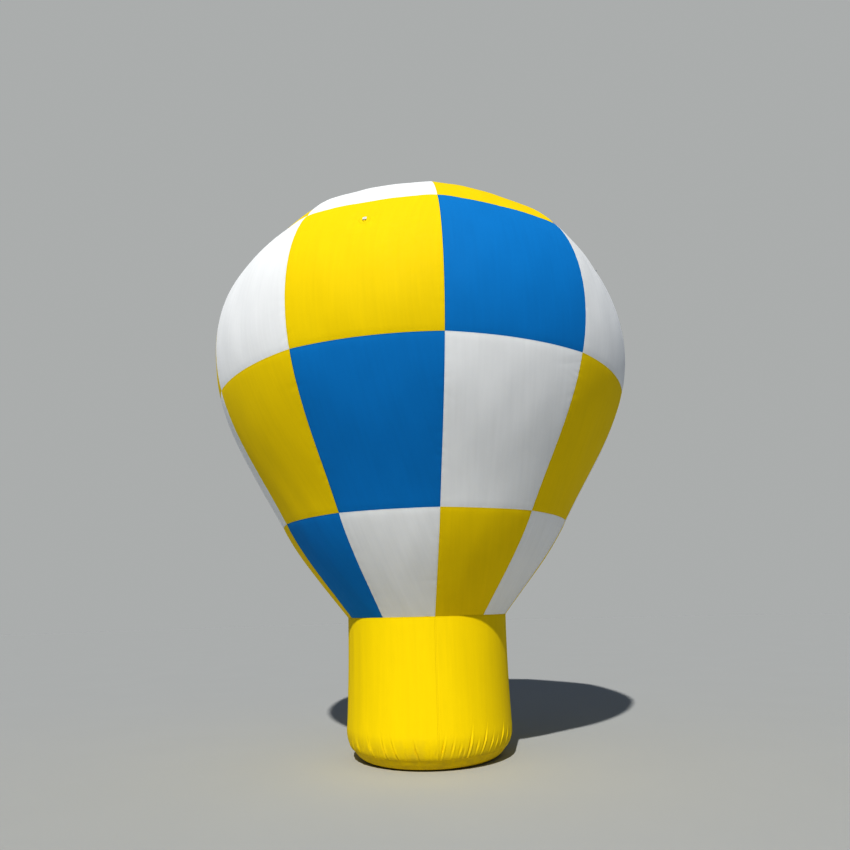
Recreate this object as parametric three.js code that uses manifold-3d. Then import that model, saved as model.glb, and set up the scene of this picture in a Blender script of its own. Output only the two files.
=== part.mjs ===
// Inflatable ground balloon: a ten-gore balloon envelope in three colours on a round fabric base,
// blown up by a centrifugal blower that stands behind it and feeds it through a fabric sleeve.
// Millimetres, +Z up. The origin is on the floor, on the balloon's axis, and the front faces -Y.
// Azimuths are measured from the front (-Y) towards +X. Neighbouring pieces keep a gap of 0.3 mm,
// and shapes that are joined into one solid run OVERLAP into each other.

import * as THREE from 'three';
import Module from 'manifold-3d';
import { mergeVertices } from 'three/addons/utils/BufferGeometryUtils.js';

const wasm = await Module();
wasm.setup();

const rad = THREE.MathUtils.degToRad;

// Driving dimensions
const GAP = 0.3;
const OVERLAP = 1;
const SHELL = 10;
const GORES = 10;
const COLUMNS = 5;
const SEGMENTS = GORES * COLUMNS;
const GORE_ANGLE = (2 * Math.PI) / GORES;
const FRONT_SEAM = rad(5.3);

// The rings where the rows of the envelope are sewn together, from the base up.
// lean is the envelope's slope there, from the vertical, in degrees: positive leans outwards.
// flat is how far the ring is drawn from a circle, 0, towards straight lines between the seams, 1.
const RINGS = [
  { ring: 'neck', radius: 956, height: 1546, lean: 38, flat: 0 },
  { ring: 'low', radius: 1751, height: 2611, lean: 29, flat: 0.12 },
  { ring: 'belly', radius: 2577, height: 4165, lean: 17, flat: 0.26 },
  { ring: 'shoulder', radius: 2372, height: 5828, lean: -35, flat: 0.64 },
  { ring: 'crown', radius: 260, height: 6856, lean: -83, flat: 0 },
];
const [NECK, , , , CROWN] = RINGS;

// The rows between the rings, with the shares of the row's curve where its facets meet.
// handle is the length of the curve's handles, as a share of its chord. colourShift turns the
// colour sequence by whole gores from row to row.
const ROWS = [
  { row: 'lower', stops: [0, 0.33, 0.67, 1], handle: 0.34, colourShift: 2 },
  { row: 'middle', stops: [0, 0.25, 0.5, 0.75, 1], handle: 0.34, colourShift: 1 },
  { row: 'upper', stops: [0, 0.26, 0.5, 0.71, 0.86, 1], handle: 0.34, colourShift: 0 },
  { row: 'crown', stops: [0, 0.08, 0.24, 0.46, 0.72, 1], handle: 0.395, colourShift: -1 },
];
// The crown row is round again a little way above the shoulder seam, faster as this number grows.
const CROWN_ROUNDING = 6;
const COLOUR_SEQUENCE = ['white', 'yellow', 'blue', 'white', 'yellow'];
const FRONT_GORE = 3;

// The base: a flat floor, a rounded edge with a sewn seam part of the way up it, then a wall that
// is a little narrower at its waist. An edgePower of 1 would make the edge a quarter of an ellipse,
// and 2 a straight chamfer.
const BASE = {
  floorRadius: 680, wallRadius: 959, edgeHeight: 274, edgePower: 1.4, waistRadius: 948, panels: 5,
};
const EDGE_BELOW_SEAM = [0, 18, 34];
const EDGE_SEAM = 48.5;
const EDGE_ABOVE_SEAM = [62, 76];

// The tie tabs, one on every second gore, each a webbing tab with a steel ring in its fold.
// Heights are from the middle of the envelope's facet: the flat face runs from slopeTop up to above.
const TIE = {
  firstGore: 2, row: 2, step: 3, width: 44, above: 46, slopeTop: 12, cloth: 3,
  foldRadius: 5, foldDrop: 9, ringWidth: 40, ringWire: 5, ringReach: 28, ringTilt: 40,
};

// The blower stands behind the base, its impeller axis along X. Radii are from that axis.
const BLOWER = {
  y: 1800, axisHeight: 270, width: 200, wall: 6, segments: 32,
  scrollStart: 165, scrollEnd: 230, scrollTurn: 270, scrollSteps: 18,
  outletReach: 260, outletFloor: 60, tongueOut: 150,
  spigotRadius: 80, spigotBore: 75, spigotLength: 70, inletRadius: 115, shaftHole: 32,
};
const SPIGOT_HEIGHT = BLOWER.axisHeight + (BLOWER.scrollEnd + BLOWER.outletFloor) / 2;
const OUTLET_Y = BLOWER.y - BLOWER.outletReach;
const SIDE = BLOWER.width / 2;
const MOTOR = {
  flangeRadius: 95, flange: 6, radius: 68, length: 118, bellRadius: 54, bell: 20,
  shaftRadius: 9.5, bore: 10.2, boreDepth: 24, shaftEndGap: 4,
  boxWidth: 64, boxHeight: 34, boxSetBack: 16, boxSunk: 12, glandRadius: 10, gland: 22,
};
const IMPELLER = {
  radius: 140, ringInner: 116, halfWidth: 74, plate: 4, hubRadius: 26, hubLength: 50,
  blades: 16, bladeDepth: 24, bladeThick: 2.5, bladeAngle: 32, segments: 32,
};
const GUARD = { radius: 135, thick: 8, spokes: 8, bar: 5, ringRadii: [24, 60, 97] };
const STAND = {
  plateWidth: 250, plateDepth: 330, plate: 6, plateHeight: 22, footRadius: 20, footTaper: 3,
  footInset: 34, bracket: 5, bracketDepth: 220, bracketTop: 130,
};
const HANDLE = { front: -210, back: -60, post: 24, rise: 62, grip: 26 };

// The inflation sleeve, from the base wall to the blower's spigot: along is Y.
const SLEEVE_WALL = 6;
const SLEEVE_END_GAP = 6;
const SLEEVE_ON_SPIGOT = BLOWER.spigotRadius + GAP + SLEEVE_WALL;
const SLEEVE_STATIONS = [
  { along: 880, radius: 178 },
  { along: 1000, radius: 160 },
  { along: 1160, radius: 150 },
  { along: 1320, radius: 138 },
  { along: 1410, radius: 112 },
  { along: OUTLET_Y - BLOWER.spigotLength, radius: SLEEVE_ON_SPIGOT },
  { along: OUTLET_Y - SLEEVE_END_GAP, radius: SLEEVE_ON_SPIGOT },
];
const SLEEVE_HOLE = { radius: 150, cutLength: 400 };
const STRAP = { width: 38, thick: 3, setBack: 38, buckleWidth: 46, buckleHeight: 12, buckleLip: 4 };

const COLOURS = {
  white: { color: 0xf2f2ee, roughness: 0.62, metalness: 0 },
  yellow: { color: 0xf4dc08, roughness: 0.62, metalness: 0 },
  blue: { color: 0x0f63b4, roughness: 0.62, metalness: 0 },
  webbing: { color: 0xe9e9e4, roughness: 0.8, metalness: 0 },
  plastic: { color: 0x23272c, roughness: 0.5, metalness: 0 },
  motor: { color: 0x6c7176, roughness: 0.45, metalness: 0.6 },
  steel: { color: 0x9a9da0, roughness: 0.35, metalness: 0.9 },
  fan: { color: 0x3a3d41, roughness: 0.5, metalness: 0 },
};
const MATERIALS = Object.fromEntries(
  Object.entries(COLOURS).map(([name, look]) => [name, new THREE.MeshStandardMaterial(look)]),
);

const balloon = new THREE.Group();

function addMesh(parent, name, geometry, finish) {
  const mesh = new THREE.Mesh(geometry, MATERIALS[finish].clone());
  mesh.name = name;
  parent.add(mesh);
  return mesh;
}

// Booleans

function solidOf(geometry) {
  const bare = geometry.clone();
  bare.deleteAttribute('normal');
  bare.deleteAttribute('uv');
  const merged = mergeVertices(bare, 1e-4);
  const corners = merged.index.array;
  const kept = [];
  for (let i = 0; i < corners.length; i += 3) {
    const [a, b, c] = corners.subarray(i, i + 3);
    if (a !== b && b !== c && c !== a) kept.push(a, b, c);
  }
  return new wasm.Manifold(new wasm.Mesh({
    numProp: 3,
    vertProperties: new Float32Array(merged.getAttribute('position').array),
    triVerts: new Uint32Array(kept),
  }));
}

function geometryOf(solid) {
  const { vertProperties, triVerts } = solid.getMesh();
  const geometry = new THREE.BufferGeometry();
  geometry.setAttribute('position', new THREE.BufferAttribute(vertProperties, 3));
  geometry.setIndex(new THREE.BufferAttribute(triVerts, 1));
  geometry.computeVertexNormals();
  return geometry;
}

function joined(first, ...others) {
  return others.reduce((solid, other) => solid.add(solidOf(other)), solidOf(first));
}

// Plain shapes, turned to the axis that they are used on

function box(width, depth, height, x, y, z) {
  return new THREE.BoxGeometry(width, depth, height).translate(x, y, z);
}

function latheAroundX(outline, segments) {
  const points = outline.map(([along, radius]) => new THREE.Vector2(radius, along));
  return new THREE.LatheGeometry(points, segments).rotateZ(-Math.PI / 2);
}

function latheAlongY(outline, segments, x, z) {
  const points = outline.map(([along, radius]) => new THREE.Vector2(radius, along));
  return new THREE.LatheGeometry(points, segments).translate(x, 0, z);
}

// A shape drawn in (Y, Z), pushed out between two places along X.
function extrudeAcross(shape, fromX, toX, curveSegments = 12) {
  const turn = new THREE.Matrix4().makeBasis(
    new THREE.Vector3(0, 1, 0), new THREE.Vector3(0, 0, 1), new THREE.Vector3(1, 0, 0),
  );
  return new THREE.ExtrudeGeometry(shape, { depth: toX - fromX, bevelEnabled: false, curveSegments })
    .applyMatrix4(turn)
    .translate(fromX, 0, 0);
}

// Shells of even thickness. A station is a place on the outside: radius, height and lean in radians.

function stationAt(station, depth) {
  return {
    r: Math.max(0, station.r - depth * Math.cos(station.lean)),
    z: station.z + depth * Math.sin(station.lean),
  };
}

function movedAlong(station, distance) {
  return {
    r: station.r + distance * Math.sin(station.lean),
    z: station.z + distance * Math.cos(station.lean),
    lean: station.lean,
    flat: station.flat,
  };
}

// A row's outline between its two rings is a Bezier curve that leaves and meets them at their leans.
function rowStations(level) {
  const [low, high] = [RINGS[level], RINGS[level + 1]];
  const { stops, handle } = ROWS[level];
  const start = new THREE.Vector2(low.radius, low.height);
  const end = new THREE.Vector2(high.radius, high.height);
  const reach = start.distanceTo(end) * handle;
  const arm = ({ lean }) => new THREE.Vector2(reach * Math.sin(rad(lean)), reach * Math.cos(rad(lean)));
  const curve = new THREE.CubicBezierCurve(
    start, start.clone().add(arm(low)), end.clone().sub(arm(high)), end,
  );
  return stops.map((stop) => {
    const point = curve.getPoint(stop);
    const along = curve.getTangent(stop);
    const eased = high === CROWN ? 1 - (1 - stop) ** CROWN_ROUNDING : stop * stop * (3 - 2 * stop);
    const flat = low.flat + (high.flat - low.flat) * eased;
    return { r: point.x, z: point.y, lean: Math.atan2(along.x, along.y), flat };
  });
}

// How far from the axis a panel's cloth is at an azimuth from its middle, for 1 at its side seams.
function drawnIn({ flat = 0 }, azimuth) {
  return 1 - flat + (flat * Math.cos(GORE_ANGLE / 2)) / Math.cos(azimuth);
}

function trimmed(stations) {
  const last = stations.length - 1;
  return stations.map((station, i) => {
    if (i === 0) return movedAlong(station, GAP / 2);
    return i === last ? movedAlong(station, -GAP / 2) : station;
  });
}

// One panel, centred on azimuth 0: the outer grid, the same grid SHELL further in, and its four edges.
function panelGeometry(stations, angle, columns) {
  const rows = stations.length - 1;
  const across = columns + 1;
  const layer = across * (rows + 1);
  const positions = [];
  const index = [];
  for (const depth of [0, SHELL]) {
    for (const station of stations) {
      const { r, z } = stationAt(station, depth);
      for (let i = 0; i <= columns; i += 1) {
        const share = i / columns - 0.5;
        const azimuth = share * (angle - GAP / station.r);
        const out = r * drawnIn(station, azimuth);
        positions.push(out * Math.sin(azimuth), -out * Math.cos(azimuth), z);
      }
    }
  }
  const quad = (a, b, c, d) => index.push(a, b, c, a, c, d);
  for (let j = 0; j < rows; j += 1) {
    for (let i = 0; i < columns; i += 1) {
      const a = j * across + i;
      quad(a, a + 1, a + across + 1, a + across);
      quad(a + layer, a + layer + across, a + layer + across + 1, a + layer + 1);
    }
    const left = j * across;
    const right = left + columns;
    quad(left, left + across, left + across + layer, left + layer);
    quad(right, right + layer, right + across + layer, right + across);
  }
  for (let i = 0; i < columns; i += 1) {
    const top = rows * across + i;
    quad(i, i + layer, i + layer + 1, i + 1);
    quad(top, top + 1, top + 1 + layer, top + layer);
  }
  const geometry = new THREE.BufferGeometry();
  geometry.setAttribute('position', new THREE.Float32BufferAttribute(positions, 3));
  geometry.setIndex(index);
  geometry.computeVertexNormals();
  return geometry;
}

// A round shell that closes on the axis, with its facets in line with the panels' columns.
function roundShell(stations) {
  const points = (depth) => stations.map((station) => {
    const { r, z } = stationAt(station, depth);
    return new THREE.Vector2(r < 1e-6 ? 0 : r, z);
  });
  const startsOnAxis = stations[0].r === 0;
  const outer = points(0);
  const inner = points(SHELL).reverse();
  const outline = startsOnAxis ? [...outer, ...inner] : [...inner, ...outer];
  return new THREE.LatheGeometry(outline, SEGMENTS, FRONT_SEAM).rotateX(Math.PI / 2);
}

// Envelope

function gorePanels() {
  ROWS.forEach(({ row, colourShift }, level) => {
    const stations = trimmed(rowStations(level));
    const geometry = panelGeometry(stations, GORE_ANGLE, COLUMNS);
    for (let gore = 1; gore <= GORES; gore += 1) {
      const place = (gore - 1 + colourShift + GORES) % COLOUR_SEQUENCE.length;
      const name = `gore_${String(gore).padStart(2, '0')}_${row}`;
      addMesh(balloon, name, geometry, COLOUR_SEQUENCE[place]).rotation.z = goreAzimuth(gore);
    }
  });
}

function goreAzimuth(gore) {
  return FRONT_SEAM + (gore - FRONT_GORE + 0.5) * GORE_ANGLE;
}

function crownPatch() {
  const rise = rad(90 + CROWN.lean);
  const domeRadius = CROWN.radius / Math.sin(rise);
  const stations = [1, 0.5, 0].map((share) => ({
    r: domeRadius * Math.sin(rise * share),
    z: CROWN.height + domeRadius * (Math.cos(rise * share) - Math.cos(rise)),
    lean: rad(-90) + rise * share,
  }));
  stations[0] = movedAlong(stations[0], GAP / 2);
  addMesh(balloon, 'crown_patch', roundShell(stations), 'white');
}

// Base

function edgeStation(angle) {
  const { floorRadius, wallRadius, edgeHeight, edgePower } = BASE;
  const width = wallRadius - floorRadius;
  const [sine, cosine] = [Math.sin(rad(angle)), Math.cos(rad(angle))];
  return {
    r: floorRadius + width * sine ** edgePower,
    z: edgeHeight * (1 - cosine ** edgePower),
    lean: Math.atan2(width * cosine ** (2 - edgePower), edgeHeight * sine ** (2 - edgePower)),
  };
}

function wallStations() {
  const knee = { r: BASE.wallRadius, z: BASE.edgeHeight, lean: 0 };
  const waist = { r: BASE.waistRadius, z: (BASE.edgeHeight + NECK.height) / 2, lean: 0 };
  const neck = { r: NECK.radius, z: NECK.height, lean: 0 };
  return [...EDGE_ABOVE_SEAM.map(edgeStation), knee, waist, neck];
}

function baseFloor() {
  const rim = movedAlong(edgeStation(EDGE_SEAM), -GAP / 2);
  const stations = [{ r: 0, z: 0, lean: rad(90) }, ...EDGE_BELOW_SEAM.map(edgeStation), rim];
  addMesh(balloon, 'base_floor', roundShell(stations), 'yellow');
}

function baseWall() {
  const angle = (2 * Math.PI) / BASE.panels;
  const columns = SEGMENTS / BASE.panels;
  const stations = trimmed([edgeStation(EDGE_SEAM), ...wallStations()]);
  const geometry = panelGeometry(stations, angle, columns);
  for (let panel = 1; panel <= BASE.panels; panel += 1) {
    const azimuth = FRONT_SEAM + (panel - 0.5) * angle;
    const isBack = Math.abs(azimuth - Math.PI) < angle / 2;
    const wall = isBack ? withSleeveHole(geometry, azimuth) : geometry;
    addMesh(balloon, `base_wall_${panel}`, wall, 'yellow').rotation.z = azimuth;
  }
}

// The hole in the back wall panel, behind the sleeve, cut in the panel's own frame.
function withSleeveHole(geometry, azimuth) {
  const { radius, cutLength } = SLEEVE_HOLE;
  const hole = new THREE.CylinderGeometry(radius, radius, cutLength, BLOWER.segments)
    .translate(0, BASE.wallRadius, SPIGOT_HEIGHT)
    .rotateZ(-azimuth);
  return geometryOf(solidOf(geometry).subtract(solidOf(hole)));
}

// Ties

function ringShape(width, reach, wire) {
  const shape = new THREE.Shape();
  const half = width / 2;
  const straight = reach - half;
  shape.moveTo(-half, 0);
  shape.lineTo(-half, -straight);
  shape.absarc(0, -straight, half, Math.PI, 2 * Math.PI, false);
  shape.lineTo(half, 0);
  shape.closePath();
  const hole = new THREE.Path();
  const inner = half - wire;
  hole.moveTo(-inner, -wire);
  hole.lineTo(inner, -wire);
  hole.lineTo(inner, -straight);
  hole.absarc(0, -straight, inner, 0, Math.PI, true);
  hole.closePath();
  shape.holes.push(hole);
  return shape;
}

// In the tab's own frame X runs round the balloon, Z up the envelope and -Y away from it.
function tieGeometry() {
  const { width, above, slopeTop, cloth, foldRadius, foldDrop, ringWidth, ringReach, ringWire } = TIE;
  const fold = new THREE.Vector2(-(GAP + foldRadius), foldRadius - foldDrop);
  const slopeStart = new THREE.Vector2(-(GAP + cloth), slopeTop);
  const fromFold = slopeStart.clone().sub(fold);
  const tangent = fromFold.angle() + Math.acos(foldRadius / fromFold.length());
  const webbing = new THREE.Shape();
  webbing.moveTo(-GAP, above);
  webbing.lineTo(slopeStart.x, above);
  webbing.lineTo(slopeStart.x, slopeStart.y);
  webbing.absarc(fold.x, fold.y, foldRadius, tangent, 2 * Math.PI, false);
  webbing.closePath();
  const ring = new THREE.ExtrudeGeometry(ringShape(ringWidth, ringReach, ringWire),
    { depth: ringWire, bevelEnabled: false, curveSegments: 8 })
    .translate(0, ringWire / 2, -ringWire / 2)
    .rotateX(Math.PI / 2 - rad(TIE.ringTilt))
    .translate(0, fold.x, fold.y);
  return geometryOf(joined(extrudeAcross(webbing, -width / 2, width / 2, 6), ring));
}

function ties() {
  const halfColumn = GORE_ANGLE / COLUMNS / 2;
  const facetAt = (station) => station.r * drawnIn(station, halfColumn) * Math.cos(halfColumn);
  const stations = rowStations(TIE.row);
  const [low, high] = [stations[TIE.step], stations[TIE.step + 1]];
  const seat = new THREE.Vector3(0, -(facetAt(low) + facetAt(high)) / 2, (low.z + high.z) / 2);
  const lean = Math.atan2(facetAt(high) - facetAt(low), high.z - low.z);
  const geometry = tieGeometry();
  for (let gore = TIE.firstGore; gore <= GORES; gore += 2) {
    const side = new THREE.Group();
    side.rotation.z = goreAzimuth(gore);
    balloon.add(side);
    const tie = addMesh(side, `tie_tab_${gore / 2}`, geometry, 'webbing');
    tie.position.copy(seat);
    tie.rotation.x = lean;
  }
}

// Inflation sleeve

function sleeve() {
  const outer = SLEEVE_STATIONS.map(({ along, radius }) => [along, radius]);
  const inner = SLEEVE_STATIONS.map(({ along, radius }) => [along, radius - SLEEVE_WALL]).reverse();
  const tube = latheAlongY([...outer, ...inner, outer[0]], BLOWER.segments, 0, SPIGOT_HEIGHT);
  const wall = wallStations();
  const plug = new THREE.LatheGeometry([
    new THREE.Vector2(0, wall[0].z),
    ...wall.map(({ r, z }) => new THREE.Vector2(r + GAP, z)),
    new THREE.Vector2(0, NECK.height),
  ], SEGMENTS, FRONT_SEAM).rotateX(Math.PI / 2);
  addMesh(balloon, 'inflation_sleeve', geometryOf(solidOf(tube).subtract(solidOf(plug))), 'yellow');
}

function strap() {
  const inner = SLEEVE_ON_SPIGOT + GAP;
  const outer = inner + STRAP.thick;
  const from = OUTLET_Y - STRAP.setBack - STRAP.width / 2;
  const to = from + STRAP.width;
  const band = latheAlongY([[from, inner], [from, outer], [to, outer], [to, inner], [from, inner]],
    BLOWER.segments, 0, SPIGOT_HEIGHT);
  const buckle = box(STRAP.buckleWidth, STRAP.width + 2 * STRAP.buckleLip, STRAP.buckleHeight,
    0, (from + to) / 2, SPIGOT_HEIGHT + outer + STRAP.buckleHeight / 2 - OVERLAP);
  addMesh(balloon, 'sleeve_strap', geometryOf(joined(band, buckle)), 'webbing');
}

// Blower, in a group whose origin is on the impeller axis

function scrollShape(inset, reach) {
  const { scrollStart, scrollEnd, scrollTurn, scrollSteps, outletFloor, tongueOut } = BLOWER;
  const shape = new THREE.Shape();
  shape.moveTo(-(tongueOut - inset), outletFloor + inset);
  for (let step = 0; step <= scrollSteps; step += 1) {
    const share = step / scrollSteps;
    const turn = rad(scrollTurn) * share;
    const radius = scrollStart + (scrollEnd - scrollStart) * share - inset;
    shape.lineTo(-radius * Math.cos(turn), -radius * Math.sin(turn));
  }
  shape.lineTo(-reach, scrollEnd - inset);
  shape.lineTo(-reach, outletFloor + inset);
  shape.closePath();
  return shape;
}

function housing(blower) {
  const { wall, outletReach, inletRadius, shaftHole, segments } = BLOWER;
  const { spigotRadius, spigotBore, spigotLength } = BLOWER;
  const spigotZ = SPIGOT_HEIGHT - BLOWER.axisHeight;
  const end = -(outletReach + spigotLength);
  const shell = extrudeAcross(scrollShape(0, outletReach), -SIDE, SIDE);
  const spigot = latheAlongY([[end, 0], [end, spigotRadius], [-outletReach + OVERLAP, spigotRadius],
    [-outletReach + OVERLAP, 0]], segments, 0, spigotZ);
  const cavity = extrudeAcross(scrollShape(wall, outletReach - wall), -SIDE + wall, SIDE - wall);
  const bore = latheAlongY([[end - OVERLAP, 0], [end - OVERLAP, spigotBore],
    [-outletReach + 2 * wall, spigotBore], [-outletReach + 2 * wall, 0]], segments, 0, spigotZ);
  const wallOuter = SIDE + OVERLAP;
  const wallInner = SIDE - wall - OVERLAP;
  const inlet = latheAroundX([[-wallOuter, 0], [-wallOuter, inletRadius], [-wallInner, inletRadius],
    [-wallInner, 0]], segments);
  const shaft = latheAroundX([[wallInner, 0], [wallInner, shaftHole], [wallOuter, shaftHole],
    [wallOuter, 0]], segments);
  const cuts = [cavity, bore, inlet, shaft];
  const solid = cuts.reduce((body, cut) => body.subtract(solidOf(cut)), joined(shell, spigot));
  addMesh(blower, 'blower_housing', geometryOf(solid), 'plastic');
}

function motor(blower) {
  const { flangeRadius, flange, radius, length, bellRadius, bell, bore, boreDepth } = MOTOR;
  const { boxWidth, boxHeight, boxSetBack, boxSunk, glandRadius, gland } = MOTOR;
  const face = SIDE + GAP;
  const body = latheAroundX([
    [face + boreDepth, 0], [face + boreDepth, bore], [face, bore], [face, flangeRadius],
    [face + flange, flangeRadius], [face + flange, radius], [face + length, radius],
    [face + length + bell, bellRadius], [face + length + bell, 0],
  ], BLOWER.segments);
  const boxX = face + flange + boxSetBack + boxWidth / 2;
  const boxTall = boxHeight + boxSunk;
  const terminals = box(boxWidth, boxWidth, boxTall, boxX, 0, radius + boxHeight - boxTall / 2);
  const cableGland = new THREE.CylinderGeometry(glandRadius, glandRadius, gland + OVERLAP, 12)
    .translate(boxX, (boxWidth + gland - OVERLAP) / 2, radius + boxHeight / 2);
  addMesh(blower, 'blower_motor', geometryOf(joined(body, terminals, cableGland)), 'motor');
}

function impeller(blower) {
  const { radius, ringInner, halfWidth, plate, hubRadius, hubLength, segments } = IMPELLER;
  const shaftEnd = SIDE + GAP + MOTOR.boreDepth - MOTOR.shaftEndGap;
  const wheel = latheAroundX([
    [halfWidth - hubLength, 0], [halfWidth - hubLength, hubRadius], [halfWidth - plate, hubRadius],
    [halfWidth - plate, radius], [halfWidth, radius], [halfWidth, MOTOR.shaftRadius],
    [shaftEnd, MOTOR.shaftRadius], [shaftEnd, 0],
  ], segments);
  const frontRing = latheAroundX([
    [-halfWidth, ringInner], [-halfWidth, radius], [-halfWidth + plate, radius],
    [-halfWidth + plate, ringInner], [-halfWidth, ringInner],
  ], segments);
  const blades = Array.from({ length: IMPELLER.blades }, (_, i) => new THREE.BoxGeometry(
    2 * halfWidth - plate, IMPELLER.bladeThick, IMPELLER.bladeDepth,
  )
    .rotateX(rad(IMPELLER.bladeAngle))
    .translate(0, 0, (radius + ringInner) / 2)
    .rotateX((2 * Math.PI * (i + 0.5)) / IMPELLER.blades));
  addMesh(blower, 'blower_impeller', geometryOf(joined(wheel, frontRing, ...blades)), 'fan');
}

function guardWindow(inner, outer, from, to, bar) {
  const path = new THREE.Path();
  const trim = (radius) => bar / 2 / radius;
  path.absarc(0, 0, outer, from + trim(outer), to - trim(outer), false);
  path.absarc(0, 0, inner, to - trim(inner), from + trim(inner), true);
  path.closePath();
  return path;
}

function inletGuard(blower) {
  const { radius, thick, spokes, bar, ringRadii } = GUARD;
  const rim = Array.from({ length: BLOWER.segments }, (_, i) => {
    const turn = (2 * Math.PI * i) / BLOWER.segments;
    return new THREE.Vector2(radius * Math.cos(turn), radius * Math.sin(turn));
  });
  const disc = new THREE.Shape(rim);
  for (let ring = 0; ring < ringRadii.length; ring += 1) {
    const inner = ringRadii[ring] + bar / 2;
    const outer = (ringRadii[ring + 1] ?? radius - bar) - bar / 2;
    for (let spoke = 0; spoke < spokes; spoke += 1) {
      const from = (2 * Math.PI * spoke) / spokes;
      disc.holes.push(guardWindow(inner, outer, from, from + (2 * Math.PI) / spokes, bar));
    }
  }
  addMesh(blower, 'inlet_guard', extrudeAcross(disc, -SIDE - GAP - thick, -SIDE - GAP, 2), 'steel');
}

function stand(blower) {
  const { plateWidth, plateDepth, plate, plateHeight, footRadius, footTaper, footInset } = STAND;
  const { bracket, bracketDepth, bracketTop } = STAND;
  const floor = -BLOWER.axisHeight;
  const joint = plateHeight + OVERLAP;
  const bracketHeight = bracketTop - joint;
  const pieces = [box(plateWidth, plateDepth, plate, 0, 0, floor + plateHeight + plate / 2)];
  for (const side of [-1, 1]) {
    const bracketX = side * (SIDE + GAP + bracket / 2);
    pieces.push(box(bracket, bracketDepth, bracketHeight, bracketX, 0, floor + joint + bracketHeight / 2));
    const footX = side * (plateWidth / 2 - footInset);
    for (const end of [-1, 1]) {
      const footY = end * (plateDepth / 2 - footInset);
      pieces.push(new THREE.CylinderGeometry(footRadius, footRadius - footTaper, joint, 16)
        .rotateX(Math.PI / 2)
        .translate(footX, footY, floor + joint / 2));
    }
  }
  addMesh(blower, 'blower_stand', geometryOf(joined(...pieces)), 'steel');
}

function handle(blower) {
  const { front, back, post, rise, grip } = HANDLE;
  const seat = BLOWER.scrollEnd + GAP;
  const shape = new THREE.Shape();
  shape.moveTo(front, seat);
  shape.lineTo(front + post, seat);
  shape.lineTo(front + post, seat + rise - grip);
  shape.lineTo(back - post, seat + rise - grip);
  shape.lineTo(back - post, seat);
  shape.lineTo(back, seat);
  shape.lineTo(back, seat + rise - grip / 2);
  shape.absarc(back - grip / 2, seat + rise - grip / 2, grip / 2, 0, Math.PI / 2, false);
  shape.absarc(front + grip / 2, seat + rise - grip / 2, grip / 2, Math.PI / 2, Math.PI, false);
  shape.closePath();
  addMesh(blower, 'blower_handle', extrudeAcross(shape, -grip / 2, grip / 2, 4), 'plastic');
}

function blowerUnit() {
  const blower = new THREE.Group();
  blower.position.set(0, BLOWER.y, BLOWER.axisHeight);
  balloon.add(blower);
  housing(blower);
  motor(blower);
  impeller(blower);
  inletGuard(blower);
  stand(blower);
  handle(blower);
}

gorePanels();
crownPatch();
baseFloor();
baseWall();
ties();
sleeve();
strap();
blowerUnit();

export default balloon;
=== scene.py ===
"""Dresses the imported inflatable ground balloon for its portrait.

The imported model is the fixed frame: forty cloth panels, a crown patch, a round base, five tie tabs,
an inflation sleeve and a centrifugal blower. Each class makes the finished pieces of one
sub-assembly, in metres and in the frame's own place. The front faces -Y, azimuths run from the front
towards +X, and `along` is the distance up the cloth from the neck seam, so it is negative on the base.
"""

from __future__ import annotations

import logging
import math
from collections.abc import Callable, Sequence
from dataclasses import dataclass, field
from enum import Enum

import bpy
import numpy as np
from mathutils import Matrix, Vector

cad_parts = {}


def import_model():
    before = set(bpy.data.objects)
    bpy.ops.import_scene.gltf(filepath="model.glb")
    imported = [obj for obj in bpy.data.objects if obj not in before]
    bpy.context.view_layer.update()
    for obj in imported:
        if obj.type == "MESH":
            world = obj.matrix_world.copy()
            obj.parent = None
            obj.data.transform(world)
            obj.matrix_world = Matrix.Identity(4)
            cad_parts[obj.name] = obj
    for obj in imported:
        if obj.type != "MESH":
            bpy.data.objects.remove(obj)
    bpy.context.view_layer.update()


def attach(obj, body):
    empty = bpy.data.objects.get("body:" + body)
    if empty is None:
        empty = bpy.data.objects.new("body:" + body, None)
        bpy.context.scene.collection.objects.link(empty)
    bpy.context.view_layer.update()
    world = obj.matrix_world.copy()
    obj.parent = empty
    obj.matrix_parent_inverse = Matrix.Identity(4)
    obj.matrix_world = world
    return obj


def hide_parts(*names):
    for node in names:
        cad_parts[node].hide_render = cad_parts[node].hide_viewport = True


log = logging.getLogger("balloon")

Array = np.ndarray
Socket = bpy.types.NodeSocket
Tree = bpy.types.NodeTree
Object = bpy.types.Object
Pair = tuple[float, float]
Triple = tuple[float, float, float]
Faces = list[tuple[int, ...]]
Values = dict[str | int, object]
Relief = Callable[[Array, Array, Array], Array]

MM = 0.001
TURN = 2 * math.pi


# Colours and shader nodes


def linear(code: str) -> tuple[float, float, float, float]:
    """Turns an sRGB hex colour into linear light.

    Args:
        code: six hex digits.

    Returns:
        Red, green, blue and an alpha of 1.
    """
    parts = [int(code[i : i + 2], 16) / 255 for i in (0, 2, 4)]
    red, green, blue = (c / 12.92 if c <= 0.04045 else ((c + 0.055) / 1.055) ** 2.4 for c in parts)
    return red, green, blue, 1.0


def add_node(tree: Tree, kind: str, values: Values | None = None) -> bpy.types.NodeOutputs:
    """Adds a node with its settings and links.

    Args:
        tree: the material's or world's node tree.
        kind: the node's type name without "ShaderNode".
        values: by name or number. A name of the node's own is set on the node. Any other is an
            input socket, which is linked where the value is another node's output.

    Returns:
        The new node's outputs.
    """
    node = tree.nodes.new("ShaderNode" + kind)
    for key, value in (values or {}).items():
        if isinstance(value, Socket):
            tree.links.new(value, node.inputs[key])
        elif isinstance(key, str) and hasattr(node, key):
            setattr(node, key, value)
        else:
            node.inputs[key].default_value = value
    return node.outputs


# Finishes


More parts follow.
